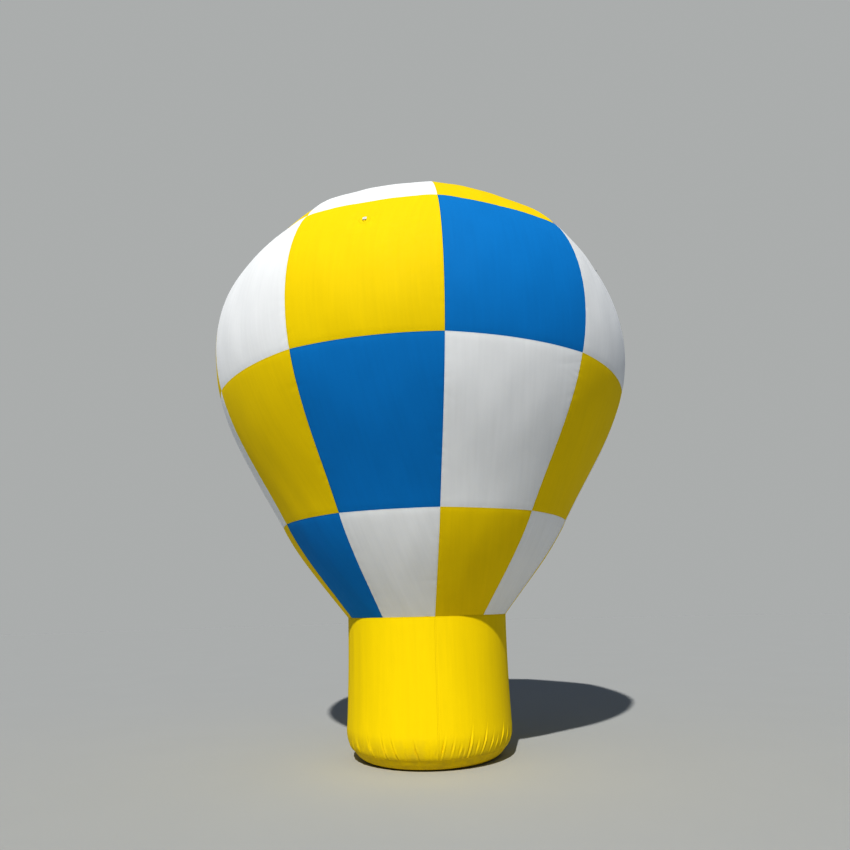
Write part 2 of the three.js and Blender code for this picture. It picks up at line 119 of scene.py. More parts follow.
@dataclass(frozen=True)
class Finish:
    """A finish: its material's name, its colour and the record's slot, where it has one."""

    name: str
    colour: str
    slot: str | None

    def pattern(self, tree: Tree) -> tuple[Socket | None, Values]:
        """Adds the finish's own nodes, and gives the relief's height and the shader's values."""
        raise NotImplementedError

    def material(self) -> bpy.types.Material:
        """Makes the material: the pattern, its relief and one Principled shader.

        Returns:
            The material.
        """
        material = bpy.data.materials.new(self.name)
        material.use_nodes = True
        tree = material.node_tree
        tree.nodes.clear()
        height, values = self.pattern(tree)
        if height is not None:
            bump = add_node(tree, "Bump", {"Distance": 1.0, "Strength": 1.0, "Height": height})
            values["Normal"] = bump["Normal"]
        shader = add_node(tree, "BsdfPrincipled", values)
        add_node(tree, "OutputMaterial", {"Surface": shader["BSDF"]})
        return material


@dataclass(frozen=True)
class CoatedPolyester(Finish):
    """Oxford polyester cloth with a thin PU coating, dyed in one colour.

    It gives the eye a matt, even colour, a fine plain weave close up, soft crinkles of the coating,
    and a row of lockstitch beside each seam.
    """

    thread: str
    # The brown of floor dust, which also paints shade on the base's lowest band.
    dust_and_shade: str = "8C7B5E"
    weave_pitch: float = 3.0 * MM  # real threads lie 0.45 mm apart, drawn coarser so that they show
    weave_height: float = 0.05 * MM
    crinkle_size: float = 60 * MM
    crinkle_height: float = 0.6 * MM
    streak_width: float = 45 * MM
    streak_length: float = 700 * MM
    streak_height: float = 0.8 * MM
    stitch_pitch: float = 9 * MM  # real stitches are 4 mm, drawn coarser so that they show
    stitch_gap: float = 0.25
    stitch_row: float = 7 * MM
    stitch_half: float = 1.3 * MM
    stitch_height: float = 0.5 * MM
    # How high the darkening near the floor reaches, and how strong it is at the floor: partly dust, partly
    # painted shade.
    dust_and_shade_top: float = 0.42
    dust_and_shade_most: float = 0.34

    def pattern(self, tree: Tree) -> tuple[Socket, Values]:
        """Adds the weave, crinkles, streaks and stitches.

        Args:
            tree: the material's nodes.

        Returns:
            The height of the relief and the shader's values.
        """
        cloth, edge = (
            add_node(tree, "Attribute", {"attribute_name": key})["Vector"] for key in ("cloth", "edge")
        )
        place = add_node(tree, "TexCoord")["Object"]
        noise = {"Vector": place, "Scale": 1 / self.crinkle_size, "Detail": 3.0, "Roughness": 0.5}
        crinkle = add_node(tree, "TexNoise", noise)["Fac"]
        # Long soft streaks run up the cloth, where it is pulled tight.
        scale = (1 / self.streak_width, 1 / self.streak_length, 1.0)
        stretched = add_node(tree, "VectorMath", {"operation": "MULTIPLY", 0: cloth, 1: scale})["Vector"]
        noise = {"Vector": stretched, "Scale": 1.0, "Detail": 2.0, "Roughness": 0.45}
        streaks = add_node(tree, "TexNoise", noise)["Fac"]
        stitches = self._stitches(tree, cloth, edge)
        height = self._weave(tree, cloth)
        for part, rise in (
            (crinkle, self.crinkle_height), (streaks, self.streak_height), (stitches, self.stitch_height),
        ):
            height = add_node(tree, "Math", {"operation": "MULTIPLY_ADD", 0: part, 1: rise, 2: height})[0]
        roughness = add_node(tree, "MapRange", {"Value": crinkle, "To Min": 0.68, "To Max": 0.8})["Result"]
        colour = self._colour(tree, place, streaks, stitches)
        # The threads break up the coating's gloss, so less light comes back off it than off a film.
        return height, {"Base Color": colour, "Roughness": roughness, "IOR": 1.5, "Specular IOR Level": 0.2}

    def _weave(self, tree: Tree, cloth: Socket) -> Socket:
        """Height of the plain weave: warp and weft pass over each other by turns.

        Args:
            tree: the material's nodes.
            cloth: the place on the cloth.

        Returns:
            The height.
        """
        turns = TURN / (2 * self.weave_pitch)
        scale = {"operation": "MULTIPLY", 0: cloth, 1: (turns, turns, 0.0)}
        scaled = add_node(tree, "VectorMath", scale)["Vector"]
        waves = add_node(tree, "VectorMath", {"operation": "SINE", 0: scaled})["Vector"]
        split = add_node(tree, "SeparateXYZ", {0: waves})
        crossed = add_node(tree, "Math", {"operation": "MULTIPLY", 0: split["X"], 1: split["Y"]})[0]
        return add_node(tree, "Math", {"operation": "MULTIPLY", 0: crossed, 1: self.weave_height})[0]

    def _stitches(self, tree: Tree, cloth: Socket, edge: Socket) -> Socket:
        """Mask of the two rows of stitches, one beside the side seams and one beside the ring seams.

        Args:
            tree: the material's nodes.
            cloth: the place on the cloth.
            edge: the distances from the side seam and from the ring seam.

        Returns:
            The mask.
        """
        along, away = (add_node(tree, "SeparateXYZ", {0: vector}) for vector in (cloth, edge))
        rows = []
        for distance, run in (("X", "Y"), ("Y", "X")):
            band = {"operation": "COMPARE", 0: away[distance], 1: self.stitch_row, 2: self.stitch_half}
            row = add_node(tree, "Math", band)[0]
            steps = {"operation": "MULTIPLY", 0: along[run], 1: 1 / self.stitch_pitch}
            share = add_node(tree, "Math", {"operation": "FRACT", 0: add_node(tree, "Math", steps)[0]})[0]
            thread = add_node(tree, "Math", {"operation": "GREATER_THAN", 0: share, 1: self.stitch_gap})[0]
            rows.append(add_node(tree, "Math", {"operation": "MULTIPLY", 0: row, 1: thread})[0])
        return add_node(tree, "Math", {"operation": "MAXIMUM", 0: rows[0], 1: rows[1]})[0]

    def _colour(self, tree: Tree, place: Socket, streaks: Socket, stitches: Socket) -> Socket:
        """The dyed colour with random unevenness and painted shade along the streaks, the thread, and floor
        dust with painted shade on the base's edge.

        Args:
            tree: the material's nodes.
            place: the place in space.
            streaks: the streaks' height.
            stitches: the stitches' mask.

        Returns:
            The colour.
        """
        # The colour varies at random with the blotches, and is darker where the streaks lie low: painted
        # shade of the tension folds.
        noise = {"Vector": place, "Scale": 1.7, "Detail": 2.0, "Roughness": 0.5}
        blotches = add_node(tree, "TexNoise", noise)["Fac"]
        mixed = add_node(tree, "Math", {"operation": "ADD", 0: blotches, 1: streaks})[0]
        spread = {"Value": mixed, "From Min": 0.6, "From Max": 1.4, "To Min": 0.965, "To Max": 1.03}
        shade = add_node(tree, "MapRange", spread)["Result"]
        dyed = add_node(tree, "HueSaturation", {"Color": linear(self.colour), "Value": shade})["Color"]
        sewn = add_node(tree, "Mix", {"data_type": "RGBA", 0: stitches, 6: dyed, 7: linear(self.thread)})[2]
        # Browner and darker towards the floor, in patches: partly floor dust, partly painted shade where the
        # ground shades the base.
        height = add_node(tree, "SeparateXYZ", {0: place})["Z"]
        fall = {"Value": height, "From Min": self.dust_and_shade_top, "From Max": 0.0, "To Max": self.dust_and_shade_most}
        near_floor = add_node(tree, "MapRange", {"interpolation_type": "SMOOTHSTEP", **fall})["Result"]
        noise = {"Vector": place, "Scale": 9.0, "Detail": 5.0, "Roughness": 0.65}
        grains = add_node(tree, "TexNoise", noise)["Fac"]
        patchy = add_node(tree, "MapRange", {"Value": grains, "From Min": 0.35, "From Max": 0.75})["Result"]
        amount = add_node(tree, "Math", {"operation": "MULTIPLY", 0: near_floor, 1: patchy})[0]
        return add_node(tree, "Mix", {"data_type": "RGBA", 0: amount, 6: sewn, 7: linear(self.dust_and_shade)})[2]


@dataclass(frozen=True)
class WovenWebbing(Finish):
    """Flat polyester webbing, woven in a herringbone.

    It gives the eye a matt off-white band with slanting ribs, which turn back at its middle, and painted
    shade in the grooves between them.
    """

    rib_pitch: float = 2.4 * MM
    rib_height: float = 0.25 * MM

    def pattern(self, tree: Tree) -> tuple[Socket, Values]:
        """Adds the ribs, with painted shade in their grooves.

        Args:
            tree: the material's nodes.

        Returns:
            The height of the relief and the shader's values.
        """
        cloth = add_node(tree, "Attribute", {"attribute_name": "cloth"})["Vector"]
        split = add_node(tree, "SeparateXYZ", {0: cloth})
        side = add_node(tree, "Math", {"operation": "ABSOLUTE", 0: split["X"]})[0]
        slanted = add_node(tree, "Math", {"operation": "ADD", 0: side, 1: split["Y"]})[0]
        turns = add_node(tree, "Math", {"operation": "MULTIPLY", 0: slanted, 1: TURN / self.rib_pitch})[0]
        ribs = add_node(tree, "Math", {"operation": "SINE", 0: turns})[0]
        height = add_node(tree, "Math", {"operation": "MULTIPLY", 0: ribs, 1: self.rib_height})[0]
        # The colour darkens where the ribs are low: painted shade in the grooves.
        spread = {"Value": ribs, "From Min": -1.0, "To Min": 0.82, "To Max": 1.0}
        shade = add_node(tree, "MapRange", spread)["Result"]
        colour = add_node(tree, "HueSaturation", {"Color": linear(self.colour), "Value": shade})["Color"]
        return height, {"Base Color": colour, "IOR": 1.5, "Roughness": 0.78, "Sheen Weight": 0.2}


@dataclass(frozen=True)
class SpeckledFinish(Finish):
    """A hard surface whose colour and gloss vary a little, with a fine grain in its relief.

    Attributes:
        worn: the colour of its rubbed or dusty places.
        roughness: the middle of its range.
        grain: the size of the grain in the relief.
        relief: how high the grain stands.
        wear: how much of the worn colour shows.
        metallic: 1 for bare metal.
    """

    worn: str
    roughness: float
    grain: float
    relief: float
    wear: float = 0.25
    metallic: float = 0.0

    def pattern(self, tree: Tree) -> tuple[Socket, Values]:
        """Adds the grain and the worn patches.

        Args:
            tree: the material's nodes.

        Returns:
            The height of the relief and the shader's values.
        """
        place = add_node(tree, "TexCoord")["Object"]
        noise = {"Vector": place, "Scale": 1 / self.grain, "Detail": 2.0, "Roughness": 0.5}
        grain = add_node(tree, "TexNoise", noise)["Fac"]
        noise = {"Vector": place, "Scale": 14.0, "Detail": 5.0, "Roughness": 0.6}
        patches = add_node(tree, "TexNoise", noise)["Fac"]
        height = add_node(tree, "Math", {"operation": "MULTIPLY", 0: grain, 1: self.relief})[0]
        spread = {"Value": patches, "From Min": 0.5, "From Max": 0.8, "To Max": self.wear}
        amount = add_node(tree, "MapRange", spread)["Result"]
        blend = {"data_type": "RGBA", 0: amount, 6: linear(self.colour), 7: linear(self.worn)}
        colour = add_node(tree, "Mix", blend)[2]
        spread = {"Value": patches, "To Min": self.roughness - 0.07, "To Max": self.roughness + 0.12}
        roughness = add_node(tree, "MapRange", spread)["Result"]
        return height, {"Base Color": colour, "Roughness": roughness, "Metallic": self.metallic}


@dataclass(frozen=True)
class FloorPaint(Finish):
    """Matt paint on the studio's floor, which gives the eye a pale, very slightly clouded ground."""

    def pattern(self, tree: Tree) -> tuple[None, Values]:
        """Adds the clouds.

        Args:
            tree: the material's nodes.

        Returns:
            None, as it has no relief, and the shader's values.
        """
        place = add_node(tree, "TexCoord")["Object"]
        tone = add_node(tree, "TexNoise", {"Vector": place, "Scale": 0.8, "Detail": 4.0})["Fac"]
        shade = add_node(tree, "MapRange", {"Value": tone, "To Min": 0.985, "To Max": 1.015})["Result"]
        colour = add_node(tree, "HueSaturation", {"Color": linear(self.colour), "Value": shade})["Color"]
        return None, {"Base Color": colour, "Roughness": 0.9, "Specular IOR Level": 0.0}


class Cloth(Enum):
    """The three dyed cloths of the envelope."""

    WHITE = CoatedPolyester("polyester_white", "F2F2F2", "fabric_white", "DCDCD9")
    YELLOW = CoatedPolyester("polyester_yellow", "F2D400", "fabric_yellow", "D8BA00")
    BLUE = CoatedPolyester("polyester_blue", "1084C8", "fabric_blue", "0C559C")


WEBBING = WovenWebbing("webbing_polyester", "F0EFEA", "webbing")
# Moulded polypropylene: a dull black with the fine grain of its mould.
HOUSING_PLASTIC = SpeckledFinish(
    "polypropylene_moulded", "24282D", "blower_plastic", "4A4A47", 0.46, 1.5 * MM, 0.06 * MM
)
# Glass-filled nylon: a greyer black, a little smoother.
FAN_PLASTIC = SpeckledFinish(
    "nylon_glass_filled", "3A3D41", "fan_plastic", "5A5853", 0.5, 1.2 * MM, 0.05 * MM
)
# Grey enamel on cast aluminium: a soft gloss over the casting's slight unevenness.
MOTOR_ENAMEL = SpeckledFinish(
    "enamel_on_casting", "6C7176", "motor_enamel", "8B8A84", 0.36, 6 * MM, 0.25 * MM
)
# Zinc-plated steel: bare metal with a satin, slightly cloudy face.
ZINC_STEEL = SpeckledFinish(
    "zinc_plated_steel", "B9BDC1", "zinc_steel", "8E9297", 0.34, 2.5 * MM, 0.04 * MM, 0.5, 1.0
)
# Rubber: nearly black and quite dull.
RUBBER = SpeckledFinish("rubber_black", "18191A", None, "4C4942", 0.72, 2 * MM, 0.08 * MM, 0.5)


# Shapes


UPRIGHT = Matrix.Identity(4)
AROUND_X = Matrix.Rotation(math.pi / 2, 4, "Y")
AROUND_Y = Matrix.Rotation(-math.pi / 2, 4, "X")
AGAINST_X = Matrix.Rotation(-math.pi / 2, 4, "Y")
AGAINST_Y = Matrix.Rotation(math.pi / 2, 4, "X")


def columns(*parts: Array | float) -> Array:
    """Points from their coordinates, which are spread out to one size: a row for each point."""
    return np.stack(np.broadcast_arrays(*parts), axis=-1).reshape(-1, len(parts))


def evenly(count: int, first: float = 0.0) -> Array:
    """Angles evenly round a turn, the first of them a share of a step past 0."""
    return TURN * (np.arange(count) + first) / count


def in_mm(*pairs: Pair) -> list[Pair]:
    """An outline that is given in millimetres."""
    return [(first * MM, second * MM) for first, second in pairs]


@dataclass
class Shape:
    """Points and faces of closed bodies, before they become a piece."""

    points: Array
    faces: Faces

    def moved(self, matrix: Matrix) -> Shape:
        """The shape in another place, its points taken there by a matrix that doesn't mirror."""
        m = np.array(matrix)
        return Shape(self.points @ m[:3, :3].T + m[:3, 3], self.faces)

    def at(self, x: float, y: float, z: float, turn: Matrix = UPRIGHT) -> Shape:
        """The shape turned, and then moved to a place."""
        return self.moved(Matrix.Translation((x, y, z)) @ turn)

    def around(self, turns: Sequence[float] | Array) -> list[Shape]:
        """Copies of the shape at angles about the X axis, which take +Y towards +Z."""
        return [self.moved(Matrix.Rotation(float(turn), 4, "X")) for turn in turns]

    def piece(self, name: str, crease: float = 35, **vectors: Array) -> Object:
        """Makes the Blender object.

        Args:
            name: the piece's name.
            crease: edges sharper than this stay crisp, in degrees.
            vectors: values for the points, three numbers each, by the attribute's name.

        Returns:
            The new object, in the scene.
        """
        mesh = bpy.data.meshes.new(name)
        mesh.from_pydata(self.points.tolist(), [], self.faces)
        for key, values in vectors.items():
            attribute = mesh.attributes.new(key, "FLOAT_VECTOR", "POINT")
            attribute.data.foreach_set("vector", values.astype(np.float32).ravel())
        mesh.shade_smooth()
        mesh.set_sharp_from_angle(angle=math.radians(crease))
        obj = bpy.data.objects.new(name, mesh)
        bpy.context.scene.collection.objects.link(obj)
        return obj


def together(shapes: Sequence[Shape]) -> Shape:
    """Joins any number of shapes into one.

    Args:
        shapes: the shapes.

    Returns:
        One shape.
    """
    starts = np.cumsum([0, *(len(shape.points) for shape in shapes)]).tolist()
    pairs = zip(shapes, starts, strict=False)
    faces = [tuple(start + i for i in face) for shape, start in pairs for face in shape.faces]
    return Shape(np.vstack([shape.points for shape in shapes]), faces)


def lofted(loops: Sequence[Array], closed: bool = False) -> Shape:
    """A skin through loops of points, each loop closed on itself.

    Args:
        loops: arrays of points, all of one length, running anticlockwise seen from where they lead.
        closed: whether the last loop joins the first. If not, both ends are capped.

    Returns:
        The closed body.
    """
    count, size = len(loops), len(loops[0])
    starts = [j * size for j in range(count)]
    pairs = zip(starts, starts[1:] + starts[:1] * closed, strict=False)
    faces: Faces = [
        (low + i, low + (i + 1) % size, high + (i + 1) % size, high + i)
        for low, high in pairs
        for i in range(size)
    ]
    if not closed:
        faces += [tuple(range(size - 1, -1, -1)), tuple(range((count - 1) * size, count * size))]
    return Shape(np.vstack(loops), faces)


def turned(outline: Sequence[Pair], steps: int, place: Matrix = UPRIGHT) -> Shape:
    """A body turned round the Z axis.

    Args:
        outline: (radius, height) points. It either starts and ends on the axis or closes on itself.
        steps: how many steps round.
        place: where the body goes.

    Returns:
        The closed body.
    """
    radii, heights = np.array(outline, float).T
    if np.sum(radii * np.roll(heights, -1) - np.roll(radii, -1) * heights) < 0:
        radii, heights = radii[::-1], heights[::-1]
    ring = disc_points(1.0, steps)
    blocks: list[Array] = []
    rows: list[list[int]] = []
    total = 0
    for radius, height in zip(radii, heights, strict=True):
        size = 1 if radius < 1e-9 else steps
        blocks.append(columns(ring[:size, 0] * radius, ring[:size, 1] * radius, height))
        rows.append([total] * steps if size == 1 else list(range(total, total + steps)))
        total += size
    if radii[0] >= 1e-9:
        rows.append(rows[0])
    faces: Faces = []
    for low, high in zip(rows, rows[1:], strict=False):
        for i in range(steps):
            k = (i + 1) % steps
            faces.append(tuple(dict.fromkeys((low[i], low[k], high[k], high[i]))))
    return Shape(np.vstack(blocks), [face for face in faces if len(face) > 2]).moved(place)


def swept(path: Array, section: Array, across: Triple, closed: bool = False) -> Shape:
    """A section pushed along a path that lies in one plane.

    Args:
        path: the path's points.
        section: (side, up) points of the section, anticlockwise seen against the path's direction.
        across: the direction at right angles to the path's plane, which is the section's side.
        closed: whether the path's end joins its start.

    Returns:
        The closed body.
    """
    along = np.roll(path, -1, axis=0) - np.roll(path, 1, axis=0) if closed else np.gradient(path, axis=0)
    along /= np.linalg.norm(along, axis=1)[:, None]
    side = np.array(across)
    loops = [
        p + section[:, :1] * side + section[:, 1:] * up
        for p, up in zip(path, np.cross(along, side), strict=True)
    ]
    return lofted(loops, closed)


def disc_points(radius: float, sides: int) -> Array:
    """Points round a circle in the plane, anticlockwise."""
    angles = evenly(sides)
    return radius * columns(np.cos(angles), np.sin(angles))


def rounded_block(size: Triple, centre: Triple, edge: float) -> Shape:
    """A block with rounded upright edges and softened top and bottom edges.

    Args:
        size: its width, depth and height.
        centre: its middle.
        edge: the radius of its upright edges. The others are as round as its height allows.

    Returns:
        The closed body.
    """
    half_x, half_y, half_z = (s / 2 for s in size)
    soft = min(edge, half_z / 2)
    low = [(-half_z, soft), (-half_z + 0.3 * soft, 0.3 * soft), (-half_z + soft, 0.0)]
    rings = []
    for rise, inset in low + [(-rise, inset) for rise, inset in reversed(low)]:
        radius = max(edge - inset * 0.5, 0.25 * edge)
        sides = []
        for quarter, (sx, sy) in enumerate(((1, 1), (-1, 1), (-1, -1), (1, -1))):
            turns = np.radians(np.arange(0, 91, 30)) + quarter * math.pi / 2
            x = centre[0] + sx * (half_x - inset - radius) + radius * np.cos(turns)
            y = centre[1] + sy * (half_y - inset - radius) + radius * np.sin(turns)
            sides.append(columns(x, y, centre[2] + rise))
        rings.append(np.vstack(sides))
    return lofted(rings)


def screw_head(radius: float, height: float) -> Shape:
    """A hexagon screw head on its washer, standing on the plane at height 0.

    Args:
        radius: to the head's corners.
        height: of the head.

    Returns:
        The closed bodies.
    """
    washer = turned([(0, 0), (1.7 * radius, 0), (1.7 * radius, 0.2 * height), (0, 0.2 * height)], 20)
    sides = disc_points(radius, 6)
    levels = (0.2, 1.0), (0.85, 1.0), (1.0, 0.86)
    head = [columns(*(sides * grow).T, height * level) for level, grow in levels]
    return together([washer, lofted(head)])


def finished(obj: Object, finish: Finish, *nodes: str, body: str = "root") -> Object:
    """Gives a piece its material and the body that it rides on.

    Args:
        obj: the piece.
        finish: its finish, whose material is made once.
        nodes: the frame's nodes that it stands for.
        body: the body that it moves with.

    Returns:
        The piece.
    """
    obj.data.materials.append(bpy.data.materials.get(finish.name) or finish.material())
    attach(obj, body)
    if nodes:
        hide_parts(*nodes)
    log.info("piece %s: %d faces", obj.name, len(obj.data.polygons))
    return obj


# Cloth on a surface of revolution


@dataclass(frozen=True)
class Profile:
    """A stretch of the cloth's half section, sampled finely.

    Attributes:
        along: the distance up the cloth from the neck seam.
        radius: the distance from the balloon's axis.
        height: the height above the floor.
        lean: the slope from the upright, in radians, positive where it leans outwards going up.
        flat: how far a panel is drawn from a round, 0, towards a straight line between its seams, 1.
    """

    along: Array
    radius: Array
    height: Array
    lean: Array
    flat: Array

    @classmethod
    def through(
        cls, points: Array, start: float = 0.0, end: float | None = None, flat: Array | float = 0.0
    ) -> Profile:
        """Measures a line of points.

        Args:
            points: (radius, height) points, going up the cloth.
            start: the first point's distance along the cloth.
            end: the last point's distance, if that is the one that is known.
            flat: how flat the panels are drawn.

        Returns:
            The profile.
        """
        along = np.concatenate(([0.0], np.cumsum(np.linalg.norm(np.diff(points, axis=0), axis=1))))
        along += start if end is None else end - along[-1]
        slope = np.gradient(points, along, axis=0)
        return cls(along, *points.T, np.arctan2(*slope.T), flat + 0 * along)

    @property
    def length(self) -> float:
        """The stretch's length along the cloth."""
        return float(self.along[-1] - self.along[0])

    def at(self, along: Array) -> list[Array]:
        """Radius, height and lean at distances along the cloth."""
        return [np.interp(along, self.along, v) for v in (self.radius, self.height, self.lean)]

    def drawn_in(self, along: Array | float, turn: Array | float, angle: float) -> Array:
        """How far out a panel of this angle lies at a turn from its middle, for 1 at its side seams."""
        flat = np.interp(along, self.along, self.flat)
        return 1 - flat + flat * math.cos(angle / 2) / np.cos(turn)


def on_surface(azimuth: Array, radius: Array, height: Array, lean: Array, rise: Array) -> Array:
    """Points that stand off a surface of revolution by a rise, outwards: a row for each."""
    out = radius + rise * np.cos(lean)
    return columns(out * np.sin(azimuth), -out * np.cos(azimuth), height - rise * np.sin(lean))


def on_circle(radius: float, azimuth: Array, height: Array | float) -> Array:
    """Points round the balloon's axis, one for each azimuth."""
    return columns(radius * np.sin(azimuth), -radius * np.cos(azimuth), height)


def turned_from(azimuth: Array, middle: float) -> Array:
    """How far azimuths lie from a middle, by the shorter way round."""
    return (azimuth - middle + math.pi) % TURN - math.pi


@dataclass(frozen=True)
class PanelCut:
    """How a panel's mesh is laid out.

    Attributes:
        pitch: the distance between its columns.
        row_pitch: the distance between its rows.
        beside_seam: the first few distances from a seam, where the cloth turns into it.
        thickness: how far inside the lining lies, which closes the mesh.
        lining_steps: the lining's coarse rows and columns.
        growth: the rows' spacing grows up the panel where this is over 1.
    """

    pitch: float = 20 * MM
    row_pitch: float = 20 * MM
    beside_seam: tuple[float, ...] = (0.0, 4 * MM, 9 * MM, 16 * MM)
    thickness: float = 8 * MM
    lining_steps: int = 8
    growth: float = 1.0

    def places(self, lengths: Array, pitch: float, growth: float = 1.0) -> Array:
        """Distances from one seam to the other, with as many steps as the longest line needs.

        Args:
            lengths: the panel's size, one value for each line across.
            pitch: the distance between the steps.
            growth: how the steps grow.

        Returns:
            One row of distances for each line.
        """
        near = np.array(self.beside_seam)
        steps = max(self.lining_steps, round((float(lengths.max()) - 2 * near[-1]) / pitch))
        shares = (np.linspace(0, 1, steps + 1) ** growth)[1:-1]
        whole = lengths.reshape(-1, 1)
        first = near + 0 * whole
        return np.hstack((first, near[-1] + shares * (whole - 2 * near[-1]), whole - first[:, ::-1]))

    def faces(self, shape: tuple[int, int], pick_j: Array, pick_i: Array) -> Faces:
        """Faces of a panel: the fine outside, the coarse lining and the rim between them.

        Args:
            shape: how many rows and columns of points the outside has.
            pick_j: the rows that the lining uses.
            pick_i: the columns that it uses.

        Returns:
            The faces, pointing out.
        """
        steps = self.lining_steps
        fine = np.arange(shape[0] * shape[1]).reshape(shape).tolist()
        coarse = (shape[0] * shape[1] + np.arange((steps + 1) ** 2).reshape(steps + 1, -1)).tolist()
        faces: Faces = []
        for low, high in zip(fine, fine[1:], strict=False):
            faces += zip(low, low[1:], high[1:], high, strict=False)
        for low, high in zip(coarse, coarse[1:], strict=False):
            faces += zip(low, high, high[1:], low[1:], strict=False)
        for k in range(steps):
            span = slice(pick_i[k], pick_i[k + 1] + 1)
            levels = fine[pick_j[k] : pick_j[k + 1] + 1]
            faces.append((*fine[0][span][::-1], coarse[0][k], coarse[0][k + 1]))
            faces.append((*fine[-1][span], coarse[-1][k + 1], coarse[-1][k]))
            faces.append((*[row[0] for row in levels], coarse[k + 1][0], coarse[k][0]))
            faces.append((*[row[-1] for row in reversed(levels)], coarse[k][-1], coarse[k + 1][-1]))
        return faces

    def panel(
        self, name: str, profile: Profile, centre: float, angle: float, relief: Relief
    ) -> Object:
        """Makes one panel of cloth as a thin closed mesh.

        Args:
            name: the piece's name.
            profile: the half section that it covers.
            centre: the azimuth of its middle.
            angle: how far round it goes.
            relief: how far the cloth stands off the surface, from azimuth, along and radius.

        Returns:
            The panel.
        """
        rows = self.places(np.array([profile.length]), self.row_pitch, self.growth).T
        along = profile.along[0] + rows
        radius, height, lean = profile.at(along)
        width = radius * angle
        across = self.places(width, self.pitch)
        azimuth = centre - angle / 2 + across / radius
        radius = radius * profile.drawn_in(along, azimuth - centre, angle)
        rise = relief(azimuth, along, radius)
        pick_j, pick_i = (
            np.round(np.linspace(0, count - 1, self.lining_steps + 1)).astype(int) for count in azimuth.shape
        )
        picked = np.ix_(pick_j, pick_i)
        outer = on_surface(azimuth, radius, height, lean, rise)
        inner = on_surface(
            azimuth[picked], radius[picked], height[pick_j], lean[pick_j], rise[picked] - self.thickness
        )
        shape = Shape(np.vstack((outer, inner)), self.faces(azimuth.shape, pick_j, pick_i))
        from_sides = np.minimum(across, width - across)
        from_ends = np.minimum(rows, rows[-1] - rows) + 0 * across
        cloth, edge = (
            np.vstack((columns(first, second, 0.0), columns(first[picked], second[picked], 0.0)))
            for first, second in ((across, rows + 0 * across), (from_sides, from_ends))
        )
        return shape.piece(name, crease=80, cloth=cloth, edge=edge)


@dataclass(frozen=True)
class Puckers:
    """Small creases that cross the seams, each a shallow groove that fades away from its seam.

    Attributes:
        table: one row for each crease: its azimuth and the distance along the cloth where it crosses
            its seam, its depth there, its width, how far it runs before and behind the seam, how far
            it drifts sideways for each metre that it runs, and 1 where its seam is a ring seam, so
            that it runs up and down, or else 0.
    """

    table: Array

    def relief(self, azimuth: Array, along: Array, radius: Array) -> Array:
        """How far the creases lower the cloth, as a Relief.

        Args:
            azimuth, along, radius: where the cloth's points lie.

        Returns:
            The rise, which is negative.
        """
        total = np.zeros(np.broadcast(azimuth, along).shape)
        middle, half = float((azimuth.max() + azimuth.min()) / 2), float(azimuth.max() - azimuth.min()) / 2
        far = 4 * self.table[:, 4:6].max(axis=1)
        beside = np.abs(turned_from(self.table[:, 0], middle)) * float(radius.min())
        level = self.table[:, 1]
        near = (level > along.min() - far) & (level < along.max() + far)
        near &= beside < half * radius.max() + far
        for turn, place, depth, width, before, behind, slant, crosses_ring in self.table[near]:
            sideways, upwards = turned_from(azimuth, turn) * radius, along - place + 0 * azimuth
            run, off = (upwards, sideways) if crosses_ring else (sideways, upwards)
            fade = np.exp(-((np.abs(run) / np.where(run < 0, before, behind)) ** 1.4))
            total -= depth * fade * np.exp(-(((off - slant * run) / width) ** 2))
        return total


@dataclass(frozen=True)
class Waves:
    """Long, shallow waves of the cloth, drawn by lot with a fixed seed.

    Attributes:
        seed: of the random numbers.
        count: how many waves there are.
        turns: how often one goes up and down in a turn: the fewest times, and one past the most.
        drift: how far one may turn for each metre up the cloth, in radians.
        height: the least and the most height.
    """

    seed: int
    count: int
    turns: tuple[int, int]
    drift: float
    height: Pair

    def relief(self, azimuth: Array, along: Array) -> Array:
        """How far the waves raise the cloth.

        Args:
            azimuth, along: where the cloth's points lie.

        Returns:
            The rise.
        """
        rng = np.random.default_rng(self.seed)
        total = np.zeros(np.broadcast(azimuth, along).shape)
        for _ in range(self.count):
            turns, drift = rng.integers(*self.turns), rng.uniform(-self.drift, self.drift)
            phase, height = rng.uniform(0, TURN), rng.uniform(*self.height)
            total += height * np.cos(turns * azimuth + drift * along + phase)
        return total


# Envelope


@dataclass(frozen=True)
class Ring:
    """A ring seam: its radius and height, the cloth's lean there in degrees, and how flat it is drawn."""

    radius: float
    height: float
    lean: float
    flat: float


class Row(Enum):
    """A row of the envelope's panels, by its place from the neck up."""

    LOWER = 0
    MIDDLE = 1
    UPPER = 2
    CROWN = 3


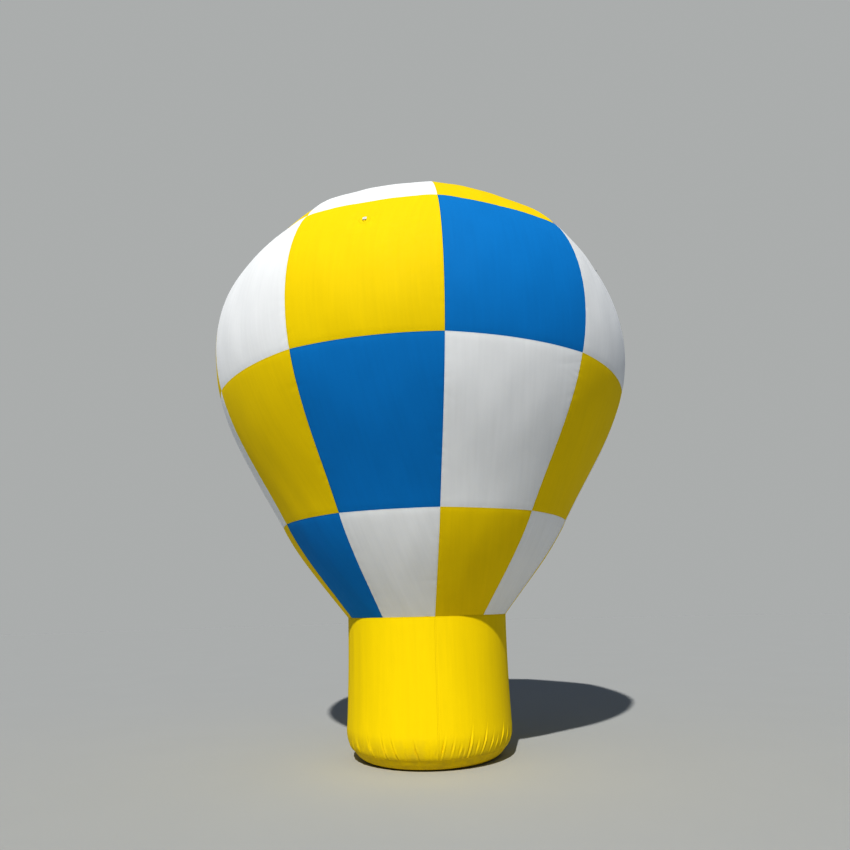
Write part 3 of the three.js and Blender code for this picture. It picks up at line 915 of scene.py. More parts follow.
@dataclass
class Envelope:
    """The balloon's envelope: ten gores of four panels each, and the patch where they meet on top.

    Attributes:
        rings: the ring seams from the neck up.
        handle_shares: how far each row's curve keeps its rings' leans, as shares of its chord.
        pillow: how far a panel stands out between its seams.
        crown_hold: how far the crown's panels are held in past the shoulder, and within what reach.
        neck_fade: over what length the pillowing comes up from the neck seam.
        pucker_spacing: how far apart the creases along the seams lie, about.
        pucker_width: the least and the most width of one, in millimetres, and pucker_run the least
            distance that it runs to each side of its seam.
        slack: the deeper creases at one corner of the belly seam, where the photograph shows slack
            cloth. Each has its place up from the seam, its depth in millimetres and its slant.
        tie_folds: how many small folds lie round a tie's seat, and their height, distance and width.
        patch_faces: how high the crown patch's lower and upper faces stand over the gores.
    """

    gores: int = 10
    front_gore: int = 3
    front_seam: float = math.radians(5.3)
    rings: tuple[Ring, ...] = (
        Ring(0.956, 1.546, 38, 0),
        Ring(1.751, 2.611, 29, 0.12),
        Ring(2.577, 4.165, 17, 0.26),
        Ring(2.372, 5.828, -35, 0.64),
        Ring(0.260, 6.881, -82, 0),
    )
    handle_shares: Pair = (0.34, 0.34)
    crown_handle_shares: Pair = (0.422, 0.38)
    colours: tuple[Cloth, ...] = (Cloth.WHITE, Cloth.YELLOW, Cloth.BLUE, Cloth.WHITE, Cloth.YELLOW)
    pillow: float = 13 * MM
    pillow_radius: float = 2.2
    neck_fade: float = 0.25
    top_fade: float = 0.35
    seam_sink: float = 2.5 * MM
    seam_reach: float = 0.035
    corner_sink: float = 6 * MM
    corner_reach: float = 0.06
    crown_hold: float = 20 * MM
    crown_hold_reach: float = 0.227
    pucker_spacing: float = 0.11
    pucker_width: Pair = (18, 34)
    pucker_run: float = 0.03
    pucker_slant: float = 0.5
    slack: tuple[Triple, ...] = (
        (-0.045, 2.4, 0.35), (-0.10, 4.2, 0.25), (-0.155, 3.6, 0.05), (-0.22, 2.6, -0.15), (-0.30, 1.8, -0.2),
    )
    slack_width: float = 20 * MM
    slack_run: Pair = (0.17, 0.05)
    tie_flat_radius: float = 0.16
    tie_folds: tuple[int, float, float, float] = (7, 1.6 * MM, 0.12, 0.05)
    patch_lap: float = 16 * MM
    patch_faces: Pair = (0.2 * MM, 2.4 * MM)
    patch_folds: int = 23
    patch_fold_height: float = 0.9 * MM
    waves: Waves = Waves(5, 14, (5, 34), 1.3 * TURN, (0.3 * MM, 1.0 * MM))
    cut: PanelCut = PanelCut()
    seats: list[Matrix] = field(default_factory=list)

    def __post_init__(self) -> None:
        """Measures the four rows and sets out the creases."""
        self.angle = TURN / self.gores
        self.rows: dict[Row, Profile] = {}
        self.top = 0.0
        for row in Row:
            self.rows[row] = self._row_profile(row, self.top)
            self.top += self.rows[row].length
        self.puckers = Puckers(np.array(self._set_out_puckers()))

    def _row_profile(self, row: Row, start: float) -> Profile:
        """The half section of one row: a curve that leaves and meets its rings at their leans.

        Args:
            row: the row.
            start: how far up the cloth it begins.

        Returns:
            Its profile.
        """
        low, high = self.rings[row.value : row.value + 2]
        ends = np.array([(ring.radius, ring.height) for ring in (low, high)])
        leans = np.radians((low.lean, high.lean))
        shares = np.array(self.crown_handle_shares if row is Row.CROWN else self.handle_shares)
        handles = np.linalg.norm(ends[1] - ends[0]) * shares[:, None] * columns(np.sin(leans), np.cos(leans))
        t = np.linspace(0, 1, 241)[:, None]
        points = (1 - t) ** 3 * ends[0] + 3 * (1 - t) ** 2 * t * (ends[0] + handles[0])
        points = points + 3 * (1 - t) * t**2 * (ends[1] - handles[1]) + t**3 * ends[1]
        eased = t if row is Row.CROWN else t * t * (3 - 2 * t)
        return Profile.through(points, start, flat=(low.flat + (high.flat - low.flat) * eased)[:, 0])

    def azimuth(self, gore: int) -> float:
        """The azimuth of a gore's middle."""
        return self.front_seam + (gore - self.front_gore + 0.5) * self.angle

    def colour(self, gore: int, row: Row) -> CoatedPolyester:
        """The cloth of one panel: the colours run round the envelope and step by one from row to row."""
        return self.colours[(gore + 1 - row.value) % len(self.colours)].value

    def _crease(
        self, rng: np.random.Generator, turn: float, place: float, deepest: float, reach: float
    ) -> tuple[float, ...]:
        """A crease of a size that is drawn by lot.

        Args:
            rng: the random numbers.
            turn, place: its azimuth, and how far up the cloth it crosses its seam.
            deepest: what sets its greatest depth.
            reach: the farthest that it runs to either side.

        Returns:
            Its row of the creases' table, but for the last value.
        """
        depth, width = rng.uniform(0.4, deepest) ** 1.6 * MM, rng.uniform(*self.pucker_width) * MM
        before, behind = rng.uniform(self.pucker_run, reach), rng.uniform(self.pucker_run, reach)
        return turn, place, depth, width, before, behind, rng.uniform(-self.pucker_slant, self.pucker_slant)

    def _set_out_puckers(self) -> list[tuple[float, ...]]:
        """Creases along the ten side seams and the four ring seams, with a fixed seed.

        Returns:
            The rows of the creases' table.
        """
        rng = np.random.default_rng(11)
        table: list[tuple[float, ...]] = []
        for seam in range(self.gores):
            place = 0.06
            while place < self.top - 0.1:
                turn = self.front_seam + seam * self.angle
                table.append((*self._crease(rng, turn, place, 1.7, 0.13), 0.0))
                place += self.pucker_spacing * rng.uniform(0.6, 1.6)
        for row in Row:
            turn = 0.0
            while turn < TURN:
                place = float(self.rows[row].along[0])
                table.append((*self._crease(rng, turn, place, 1.6, 0.12), 1.0))
                turn += self.pucker_spacing * rng.uniform(0.7, 1.8) / self.rings[row.value].radius
        belly, seam = float(self.rows[Row.UPPER].along[0]), self.front_seam + self.angle
        for rise, depth, slant in self.slack:
            table.append((seam, belly + rise, depth * MM, self.slack_width, *self.slack_run, slant, 0.0))
        return table

    def relief(self, azimuth: Array, along: Array, radius: Array) -> Array:
        """How far the inflated cloth stands off its plain outline, as a Relief.

        Args:
            azimuth, along, radius: where the cloth's points lie.

        Returns:
            The rise.
        """
        share = ((azimuth - self.front_seam) / self.angle) % 1.0
        arch = np.clip(4 * share * (1 - share), 0, 1)
        fade = (1 - np.exp(-along / self.neck_fade)) * (1 - np.exp(-(self.top - along) / self.top_fade))
        rise = self.pillow * fade * arch**0.7 * np.clip(radius / self.pillow_radius, 0.3, 1)
        for row in (Row.MIDDLE, Row.UPPER, Row.CROWN):
            past_seam = along - self.rows[row].along[0]
            rise = rise - self.seam_sink * np.exp(-((past_seam / self.seam_reach) ** 2))
        steps = np.maximum(past_seam, 0) / self.crown_hold_reach
        rise = rise - self.crown_hold * arch**0.5 * steps * np.exp(1 - steps)
        corner = np.hypot(past_seam, np.minimum(share, 1 - share) * self.angle * radius)
        rise = rise - self.corner_sink * np.exp(-((corner / self.corner_reach) ** 1.5))
        rise = rise + self.waves.relief(azimuth, along) * fade * arch**0.3
        rise = rise + self.puckers.relief(azimuth, along, radius) * (1 - np.exp(-(self.top - along) / 0.1))
        return self._flattened_at_ties(rise, azimuth, along, radius)

    def _flattened_at_ties(self, rise: Array, azimuth: Array, along: Array, radius: Array) -> Array:
        """Lays the cloth on the flat seat of each tie tab, and draws it into small folds around it.

        Args:
            rise: how far the cloth stands off so far.
            azimuth, along, radius: where the cloth's points lie.

        Returns:
            The new rise.
        """
        profile = self.rows[Row.UPPER]
        if along.max() < profile.along[0] or along.min() > profile.along[-1]:
            return rise
        seat_radius, seat_height, seat_lean = profile.at(along)
        for seat in self.seats:
            origin, outward = seat.translation, -(seat.to_3x3().col[1])
            sideways = turned_from(azimuth, math.atan2(origin.x, -origin.y)) * radius
            nearest = float(profile.along[np.argmin(np.abs(profile.height - origin.z))])
            upwards = along - nearest + 0 * azimuth
            distance = np.hypot(sideways, upwards)
            if distance.min() > 4 * self.tie_flat_radius:
                continue
            drawn_in = profile.drawn_in(along, sideways / radius, self.angle)
            points = on_surface(azimuth, seat_radius * drawn_in, seat_height, seat_lean, 0 * azimuth)
            below = ((np.array(origin) - points) @ np.array(outward)).reshape(azimuth.shape)
            weight = np.exp(-((distance / self.tie_flat_radius) ** 4))
            count, height, reach, width = self.tie_folds
            folds = height * np.cos(count * np.arctan2(sideways, upwards) + 0.6)
            folds = folds * np.exp(-(((distance - reach) / width) ** 2))
            rise = rise * (1 - weight) + (below + 0.2 * MM) * weight + folds
        return rise

    def build(self) -> None:
        """Makes the forty panels and the crown patch."""
        below: dict[int, str] = {gore: "base_wall_1" for gore in range(1, self.gores + 1)}
        for row, profile in self.rows.items():
            widths = profile.at(np.linspace(profile.along[0], profile.along[-1], 200))[0] * self.angle
            for gore in below:
                node = f"gore_{gore:02d}_{row.name.lower()}"
                panel = self.cut.panel(f"{node}_cloth", profile, self.azimuth(gore), self.angle, self.relief)
                finished(panel, self.colour(gore, row), node)
                below[gore] = node
            log.info("row %s: %d panels", row.name.lower(), self.gores)
        self._crown_patch()

    def _crown_patch(self) -> None:
        """The round patch over the gores' ends, drawn into faint radial folds."""
        ring = self.rings[-1]
        steep = math.radians(90 + ring.lean)
        dome = ring.radius / math.sin(steep)
        reach = 1 + self.patch_lap / ring.radius
        shares = np.concatenate((np.linspace(0.03, 0.95, 16), np.linspace(0.97, reach, 5)))
        angles, (under, over) = evenly(96), self.patch_faces
        folds = self.patch_fold_height * np.cos(self.patch_folds * angles + 2 * np.sin(3 * angles))
        loops, places, away = [], [], []
        for rise, folded, row in ((under, 0.0, shares), (over, 1.0, shares[::-1])):
            for share in row:
                radius = dome * math.sin(steep * share)
                level = ring.height + dome * (math.cos(steep * share) - math.cos(steep)) + rise
                loops.append(on_circle(radius, angles, level + folded * share**2 * folds))
                places.append(columns(angles * ring.radius, radius, 0.0))
                away.append(columns(1 + 0 * angles, (reach - share) * ring.radius, 0.0))
        vectors = {"cloth": np.vstack(places), "edge": np.vstack(away)}
        piece = lofted(loops).piece("crown_patch_cloth", crease=80, **vectors)
        finished(piece, Cloth.WHITE.value, "crown_patch")


# Base


@dataclass
class Base:
    """The round base: five wall panels and a floor panel that turns up to them at a gathered seam.

    Attributes:
        envelope: the envelope above, whose creases run on into the wall at the neck.
        edge_fullness: how round the edge between floor and wall is, 1 for a quarter of an ellipse.
        waist: how far the wall is drawn in at half its height.
        seam_angle: where the seam lies on the edge, from the floor up.
        seam_pull: how far the seam is drawn in, within the reach above and below it.
        tuck: how far the floor panel is drawn in below it, within the tuck's reach.
        groove: how deep and wide the wall's seams are sewn in, from their middle.
        ridge: how high the folded cloth stands beside them, where, and how wide it is.
        calm: how far from the neck and from the lower seam the cloth's ripples fade.
        curl: how far the floor panel is finely drawn from its seam, and floor_cloth how thick it is.
        settled: the height up to which it lies flat, and the height over which its folds come free.
        gathers: the creases that show in the photograph above the wall's lower seam. Each has its
            azimuth in degrees, its middle's height over the seam, half its length and its depth in
            millimetres, and its slant.
        back_gathers: the least and the most of the same values, which are drawn by lot at the back.
        back_spacing: the least and the most distance between those, in degrees.
    """

    envelope: Envelope
    floor_radius: float = 0.680
    wall_radius: float = 0.959
    edge_height: float = 0.34
    edge_fullness: float = 0.85
    waist: float = 9.5 * MM
    seam_angle: float = math.radians(51.5)
    seam_pull: float = 3 * MM
    seam_reach: Pair = (0.018, 0.12)
    tuck: float = 12 * MM
    tuck_reach: float = 0.03
    groove: Pair = (1.0 * MM, 0.009)
    ridge: tuple[float, float, float] = (0.8 * MM, 0.02, 0.012)
    calm: Pair = (0.14, 0.12)
    panels: int = 5
    curl: float = 0.27
    settled: Pair = (0.004, 0.03)
    floor_cloth: float = 6 * MM
    gathers: tuple[tuple[float, float, float, float, float], ...] = (
        (-74, 60, 90, 12, 0.1), (-66, 60, 100, 13, 0.05), (-57, 75, 110, 19, -0.1), (-50, 70, 80, 7, 0.1),
        (-42.8, 85, 100, 19, -0.2), (-36, 60, 60, 6, 0.1), (-31, 90, 100, 20, -0.2),
        (-23.4, 85, 110, 20, -0.3), (-16, 50, 70, 6, 0.0), (-9, 90, 90, 19, -0.25), (0, 50, 60, 5, 0.0),
        (4, 70, 50, 5, 0.1), (8, 120, 90, 15, 0.2), (14.2, 120, 60, 11, 0.2), (19, 90, 50, 8, 0.2),
        (22, 70, 50, 6, 0.1), (26.2, 140, 110, 16, 0.18), (31.5, 110, 60, 8, 0.2),
        (37.5, 165, 100, 14, 0.28), (44, 130, 70, 9, 0.3), (49, 120, 60, 7, 0.3), (55.6, 180, 90, 12, 0.35),
        (63, 150, 80, 10, 0.3), (70, 120, 80, 9, 0.3),
    )
    back_gathers: tuple[Pair, ...] = ((50, 150), (55, 110), (6, 14), (-0.2, 0.2))
    back_from: float = 78.0
    back_to: float = 280.0
    back_spacing: Pair = (4.5, 9)
    crease_width: Pair = (7, 9.5)
    ripples: Waves = Waves(8, 12, (5, 40), 2.2, (0.2 * MM, 0.7 * MM))
    cut: PanelCut = PanelCut(pitch=7 * MM, row_pitch=13 * MM, growth=1.25)

    def __post_init__(self) -> None:
        """Measures the wall and the floor, and sets out the creases."""
        neck = self.envelope.rings[0]
        share = np.linspace(0, 1, 80)
        drawn_in = 4 * self.waist * share * (1 - share)
        radius = self.wall_radius + (neck.radius - self.wall_radius) * share - drawn_in
        upright = columns(radius, self.edge_height + (neck.height - self.edge_height) * share)
        edge = self._edge(np.linspace(self.seam_angle, math.pi / 2, 31)[:-1])
        self.wall = Profile.through(np.vstack((edge, upright)), end=0.0)
        self.seam = float(self.wall.along[0])
        curl = self._edge(np.linspace(0, self.seam_angle, 36))
        flat = np.linspace((0.02, 0.0), (self.floor_radius, 0.0), 24)[:-1]
        self.floor = Profile.through(np.vstack((flat, curl)), end=self.seam)
        self.creases = Puckers(np.array(self._set_out_creases()))

    def _edge(self, turns: Array) -> Array:
        """Points of the rounded edge between floor and wall."""
        reach = (self.wall_radius - self.floor_radius) * np.sin(turns) ** self.edge_fullness
        return columns(self.floor_radius + reach, self.edge_height * (1 - np.cos(turns)))

    def _set_out_creases(self) -> list[tuple[float, ...]]:
        """The gathers along the lower seam, each a groove with a ridge beside it, with a fixed seed.

        Returns:
            The rows of the creases' table.
        """
        rng = np.random.default_rng(23)
        gathers = list(self.gathers)
        turn = self.back_from
        while turn < self.back_to:
            gathers.append((turn, *(rng.uniform(*limits) for limits in self.back_gathers)))
            turn += rng.uniform(*self.back_spacing)
        table: list[tuple[float, ...]] = []
        for degrees, middle, half, depth, slant in gathers:
            azimuth, height = math.radians(degrees), self.seam + middle * MM
            width = rng.uniform(*self.crease_width) * MM
            ridge = azimuth + 1.9 * width / self.wall_radius
            below, above = min(0.85 * middle, half) * MM, 0.78 * half * MM
            table.append((azimuth, height, depth * MM, width, below, above, slant, 1.0))
            table.append((ridge, height, -0.75 * depth * MM, 1.15 * width, below, 0.9 * above, slant, 1.0))
        return table

    def relief(self, azimuth: Array, along: Array, radius: Array) -> Array:
        """How far the base's cloth stands off its plain outline, as a Relief.

        Args:
            azimuth, along, radius: where the cloth's points lie.

        Returns:
            The rise.
        """
        above = along - self.seam
        below = np.maximum(-above, 0)
        rise = self.ripples.relief(azimuth, along) * (1 - np.exp(-((along / self.calm[0]) ** 2)))
        rise = rise * np.exp(-((below / self.calm[1]) ** 2)) * (0.55 + 0.45 * np.cos(2 * azimuth + 1.1))
        tucked = self.seam_pull + self.tuck * (1 - np.exp(-below / self.tuck_reach))
        rise = rise - tucked * np.exp(-((above / np.where(above > 0, *self.seam_reach)) ** 2))
        (depth, width), (height, middle, half) = self.groove, self.ridge
        for panel in range(self.panels):
            off = turned_from(azimuth, self.envelope.front_seam + panel * TURN / self.panels) * radius
            ridge = height * np.exp(-(((off - middle) / half) ** 2))
            rise = rise - depth * np.exp(-((off / width) ** 2)) + ridge
        rise = rise + self.creases.relief(azimuth, along, radius)
        if along.max() > -0.5:
            rise = rise + self.envelope.puckers.relief(azimuth, along, radius)
        return rise

    def build(self) -> None:
        """Makes the wall panels and the floor panel."""
        angle = TURN / self.panels
        for number in range(1, self.panels + 1):
            node = f"base_wall_{number}"
            azimuth = self.envelope.front_seam + (number - 0.5) * angle
            panel = self.cut.panel(f"{node}_cloth", self.wall, azimuth, angle, self.relief)
            finished(panel, Cloth.YELLOW.value, node)
        self._floor_panel()

    def _floor_panel(self) -> None:
        """The floor panel: flat on the ground, curling up at its rim to the wall's seam."""
        steps = 240
        azimuth = evenly(steps)[None, :]
        curl = np.linspace(self.seam, self.seam - self.curl, 26)[::-1]
        along = np.concatenate((np.linspace(self.floor.along[0], curl[0], 14)[:-1], curl))[:, None]
        radius, height, lean = self.floor.at(along)
        rise = self.relief(azimuth, along, radius)
        low, high = self.settled
        rise = np.where(height < high, np.minimum(rise * np.clip((height - low) / high, 0, 1), 0.0), rise)
        outer, inner = (
            on_surface(azimuth, radius, height, lean, rise - depth).reshape(len(along), steps, 3)
            for depth in (0.0, self.floor_cloth)
        )
        outer[:, :, 2] = np.maximum(outer[:, :, 2], 0.0)
        shape = lofted([*outer, *inner[::-2]])
        flat = 0 * rise
        cloth, edge = (
            np.vstack((columns(first, second, 0.0), columns(first[::-2], second[::-2], 0.0)))
            for first, second in (
                (azimuth * self.wall_radius + flat, along + flat), (1 + flat, self.seam - along + flat),
            )
        )
        piece = shape.piece("base_floor_cloth", crease=80, cloth=cloth, edge=edge)
        finished(piece, Cloth.YELLOW.value, "base_floor")


# Ties


def band_places(run: Array, section: Array) -> Array:
    """Places across and along a band, for the points of its section swept along a path."""
    return columns(np.tile(section[:, 0], len(run)), np.repeat(run, len(section)), 0.0)


@dataclass
class Ties:
    """The five tie tabs: each a folded webbing tab on a round patch, with a steel ring in its fold.

    Sizes along the tab are in its own frame: X runs round the balloon, Z up the cloth and -Y away
    from it.

    Attributes:
        facet: where the tab's facet of the cloth begins and ends, as shares of the row's curve.
        facets: how many of them a panel has across.
        lift: how far the tab's frame stands off the facet.
        above: how far the webbing reaches above the ring's bar.
        fold: where the ring's bar lies, as (Y, Z).
        patch_faces: where the patch's lower and upper faces lie on Y.
    """

    envelope: Envelope
    first_gore: int = 2
    facet: Pair = (0.71, 0.86)
    facets: int = 5
    lift: float = 6 * MM
    width: float = 44 * MM
    ply: float = 1.5 * MM
    above: float = 46 * MM
    back: float = -1.9 * MM
    front: float = -3.5 * MM
    fold: Pair = (-5.3 * MM, -4 * MM)
    fold_radius: float = 4.2 * MM
    fold_end: float = 14 * MM
    thread: float = 0.55 * MM
    sewn_half: float = 18 * MM
    sewn_rows: Pair = (18 * MM, 41 * MM)
    ring_half: float = 17.5 * MM
    ring_straight: float = 8 * MM
    ring_wire: float = 2.4 * MM
    ring_tilt: float = math.radians(40)
    patch_radius: float = 66 * MM
    patch_faces: Pair = (1.5 * MM, -1.4 * MM)

    def seats(self) -> list[Matrix]:
        """The tabs' frames on the envelope's facets, standing off by the lift.

        Returns:
            One matrix for each tab.
        """
        profile, edges = self.envelope.rows[Row.UPPER], []
        turn = self.envelope.angle / self.facets / 2
        for share in self.facet:
            place = round((len(profile.radius) - 1) * share)
            drawn_in = float(profile.drawn_in(profile.along[place], turn, self.envelope.angle))
            out = float(profile.radius[place]) * drawn_in * math.cos(turn)
            edges.append((out, float(profile.height[place])))
        low, high = edges
        lean = Matrix.Rotation(math.atan2(high[0] - low[0], high[1] - low[1]), 4, "X")
        middle = Matrix.Translation((0, -(low[0] + high[0]) / 2, (low[1] + high[1]) / 2))
        seat = middle @ lean @ Matrix.Translation((0, -self.lift, 0))
        gores = range(self.first_gore, self.envelope.gores + 1, 2)
        return [Matrix.Rotation(self.envelope.azimuth(gore), 4, "Z") @ seat for gore in gores]

    def build(self) -> None:
        """Makes the patch, the ring and the webbing of each tie tab."""
        for number, seat in enumerate(self.seats(), start=1):
            node, gore = f"tie_tab_{number}", 2 * number
            patch = self._patch(f"{node}_patch", seat)
            finished(patch, self.envelope.colour(gore, Row.UPPER))
            self._ring(f"{node}_ring", seat, node)
            self._tab(f"{node}_webbing", seat, node)

    def _patch(self, name: str, seat: Matrix) -> Object:
        """The round reinforcing patch under the tab.

        Args:
            name: the piece's name.
            seat: the tab's frame.

        Returns:
            The piece.
        """
        rounds = np.concatenate((np.linspace(0.05, 0.9, 8), np.linspace(0.94, 1, 3))) * self.patch_radius
        angles = evenly(64)
        loops, places, away = [], [], []
        under, over = self.patch_faces
        for depth, row in ((under, rounds), (over, rounds[::-1])):
            for radius in row:
                crowned = depth if radius < 0.99 * self.patch_radius else 0.6 * depth
                loops.append(columns(radius * np.cos(angles), crowned, -radius * np.sin(angles)))
                places.append(columns(angles * self.patch_radius, radius, 0.0))
                away.append(columns(1 + 0 * angles, self.patch_radius - radius, 0.0))
        return lofted(loops).moved(seat).piece(name, crease=80, cloth=np.vstack(places), edge=np.vstack(away))

    def _tab(self, name: str, seat: Matrix, node: str) -> None:
        """The webbing, sewn flat above and folded round the ring's bar below, with its sewn cross.

        Args:
            name: the piece's name.
            seat: the tab's frame.
            node: the frame's node that it stands for.
        """
        centre = np.array(self.fold)
        toward = np.array((self.front, self.fold_end)) - centre
        tangent = math.atan2(toward[1], toward[0]) + math.acos(self.fold_radius / np.linalg.norm(toward))
        turns = np.linspace(math.radians(25), tangent - TURN, 22)
        roll = centre + self.fold_radius * columns(np.cos(turns), np.sin(turns))
        down = columns(self.back, np.linspace(self.above, 4 * MM, 9))
        up = columns(self.front, np.linspace(self.fold_end, self.above - 1.5 * MM, 9))
        path = columns(0.0, *np.vstack((down, roll, up)).T)
        thick = self.ply / 2
        sides = np.linspace(-self.width / 2, self.width / 2, 9)
        section = np.vstack((columns(sides, -thick), columns(sides[::-1], thick)))
        webbing = swept(path, section, (1, 0, 0))
        run = np.concatenate(([0.0], np.cumsum(np.linalg.norm(np.diff(path, axis=0), axis=1))))
        half, (low, high) = self.sewn_half, self.sewn_rows
        box = [(-half, low), (half, low), (half, high), (-half, high)]
        lines = [*zip(box, box[1:] + box[:1], strict=True), (box[0], box[2]), (box[1], box[3])]
        threads = [
            swept(
                columns(np.linspace(x0, x1, 9), self.front - thick, np.linspace(z0, z1, 9)),
                disc_points(self.thread, 6),
                (0, 1, 0),
            )
            for (x0, z0), (x1, z1) in lines
        ]
        shape = together([webbing, *threads])
        cloth = np.zeros_like(shape.points)
        cloth[: len(webbing.points)] = band_places(run, section)
        piece = shape.moved(seat).piece(name, crease=50, cloth=cloth)
        finished(piece, WEBBING, node)

    def _ring(self, name: str, seat: Matrix, node: str) -> None:
        """The D ring, of round wire, hanging outwards from the fold.

        Args:
            name: the piece's name.
            seat: the tab's frame.
            node: the frame's node that it stands for.
        """
        half, straight = self.ring_half, self.ring_straight - self.ring_wire
        turns = np.linspace(math.pi, TURN, 25)
        bow = columns(half * np.cos(turns), -straight + half * np.sin(turns))
        corner = np.array([(half, -0.4 * straight), (half - 0.6 * MM, -0.6 * MM)])
        bar = columns(np.linspace(half, -half, 9)[1:-1], 0.0)
        outline = np.vstack((bow, corner, bar, corner[::-1] * (-1, 1)))
        wire = columns(outline[:, 0], 0.0, outline[:, 1])
        ring = swept(wire, disc_points(self.ring_wire, 12), (0, 1, 0), closed=True)
        place = seat @ Matrix.Translation((0, *self.fold)) @ Matrix.Rotation(-self.ring_tilt, 4, "X")
        finished(ring.moved(place).piece(name, crease=60), ZINC_STEEL, node)


# Inflation sleeve


@dataclass
class Sleeve:
    """The cloth tube from the base's back to the blower, gathered under a webbing strap.

    Attributes:
        stations: (distance along Y, radius) of the tube's plain outline.
        flat_size: the width and length of its cloth. It is not used.
        flange: how far its hem reaches over the wall, and hem the shares of it where its rows lie.
        off_wall: where along Y the cloth's outside and its inside have left the wall.
        pleated_from: where along Y its rows lie closer, for the pleats.
        pleats: how many pleats it is gathered into.
        pleat_depths: (distance along Y, depth of the pleats in millimetres).
    """

    base: Base
    axis_height: float = 0.415
    stations: tuple[Pair, ...] = (
        (0.945, 0.176), (1.000, 0.163), (1.080, 0.157), (1.160, 0.152), (1.250, 0.146), (1.320, 0.138),
        (1.370, 0.126), (1.410, 0.111), (1.445, 0.096), (1.470, 0.0872), (1.483, 0.0848), (1.521, 0.0848),
        (1.528, 0.0872), (1.536, 0.0915),
    )
    flat_size: Pair = (TURN * 0.165, 0.64)
    flange: float = 30 * MM
    hem: tuple[float, ...] = (1.0, 0.7, 0.35, 0.12)
    steps: int = 276
    off_wall: Pair = (0.967, 0.98)
    pleated_from: float = 1.44
    seam_turn: float = 0.7
    pleats: int = 23
    pleat_depths: tuple[Pair, ...] = (
        (1.0, 0.0), (1.20, 0.8), (1.32, 2.6), (1.40, 5.5), (1.455, 6.5), (1.478, 3.2), (1.486, 0.9),
        (1.519, 0.9), (1.528, 3.0), (1.536, 4.6),
    )
    cloth: float = 2.5 * MM
    strap_from: float = 1.483
    strap_width: float = 38 * MM
    strap_thick: float = 2.4 * MM
    strap_radius: float = 86.6 * MM

    def _loop(self, along: float, radius: float, inset: float, angles: Array) -> Array:
        """One loop of the tube, pleated and softly wrinkled.

        Args:
            along: its distance along Y.
            radius: the plain outline's radius there.
            inset: how far inside the cloth's face it lies.
            angles: the angles of its points.

        Returns:
            The points.
        """
        places, depths = np.array(self.pleat_depths).T
        wander = 0.35 * np.sin(3 * angles + 11 * along) + 0.25 * np.sin(5 * angles - 7 * along)
        wave = np.sin(self.pleats * angles + wander * 2)
        pleated = np.interp(along, places, depths * MM) * (np.abs(wave) ** 0.75 * np.sign(wave) - 0.15)
        soft = 1.6 * MM * np.sin(6 * angles + 16 * along) * np.clip((1.45 - along) / 0.2, 0, 1)
        seam = 1.4 * MM * np.exp(-(((angles - self.seam_turn) / 0.06) ** 2))
        seam = seam * np.clip((along - 0.96) / 0.05, 0, 1)
        full = radius + pleated + soft * np.clip((along - 0.95) / 0.08, 0, 1) + seam - inset
        return columns(-full * np.cos(angles), along, self.axis_height + full * np.sin(angles))

    def _on_wall(self, radius: float, stand: float, angles: Array) -> Array:
        """A loop that lies on the base's wall, standing off it.

        Args:
            radius: of the loop, seen from behind.
            stand: how far it stands off.
            angles: the angles of its points.

        Returns:
            The points.
        """
        x, z = -radius * np.cos(angles), self.axis_height + radius * np.sin(angles)
        order = np.argsort(self.base.wall.height)
        height = self.base.wall.height[order]
        wall, along = (np.interp(z, height, v[order]) for v in (self.base.wall.radius, self.base.wall.along))
        turn = math.pi - np.arcsin(x / wall)
        rise = [self.base.relief(*point.reshape(3, 1, 1))[0, 0] for point in columns(turn, along, wall)]
        return columns(x, np.sqrt((wall + np.array(rise) + stand) ** 2 - x**2), z)

    def build(self) -> None:
        """Makes the sleeve, its strap and the strap's buckle."""
        angles = evenly(self.steps)
        first, last = self.stations[0][1], self.stations[-1][0]
        start, (outer_from, inner_from) = self.stations[0][0] + 12 * MM, self.off_wall
        halves = np.linspace(start, self.pleated_from, 34), np.linspace(self.pleated_from, last, 34)
        fine = np.unique(np.concatenate(halves))
        tube = columns(fine, np.interp(fine, *np.array(self.stations).T))
        loops = [self._on_wall(first + self.flange * s, 1.6 * MM, angles) for s in self.hem]
        for rise, stand in ((1 * MM, 3.5 * MM), (-1 * MM, 9 * MM)):
            loops.append(self._on_wall(first + rise, stand, angles))
        loops += [self._loop(a, r, 0.0, angles) for a, r in tube if a > outer_from]
        loops += [self._loop(a, r, self.cloth, angles) for a, r in tube[::-3] if a > inner_from]
        loops += [self._on_wall(first + rise, -2 * MM, angles) for rise in (-5 * MM, self.flange)]
        from_hem = [self.flange * (1 - s) for s in self.hem] + [1.0] * (len(loops) - len(self.hem))
        beside = np.abs(angles - self.seam_turn) * first
        piece = lofted(loops, closed=True).piece(
            "inflation_sleeve_cloth",
            crease=80,
            cloth=np.vstack([columns(angles * first, loop[:, 1].mean(), 0.0) for loop in loops]),
            edge=np.vstack([columns(beside, away, 0.0) for away in from_hem]),
        )
        finished(piece, Cloth.YELLOW.value, "inflation_sleeve")
        self._strap()
        self._buckle()

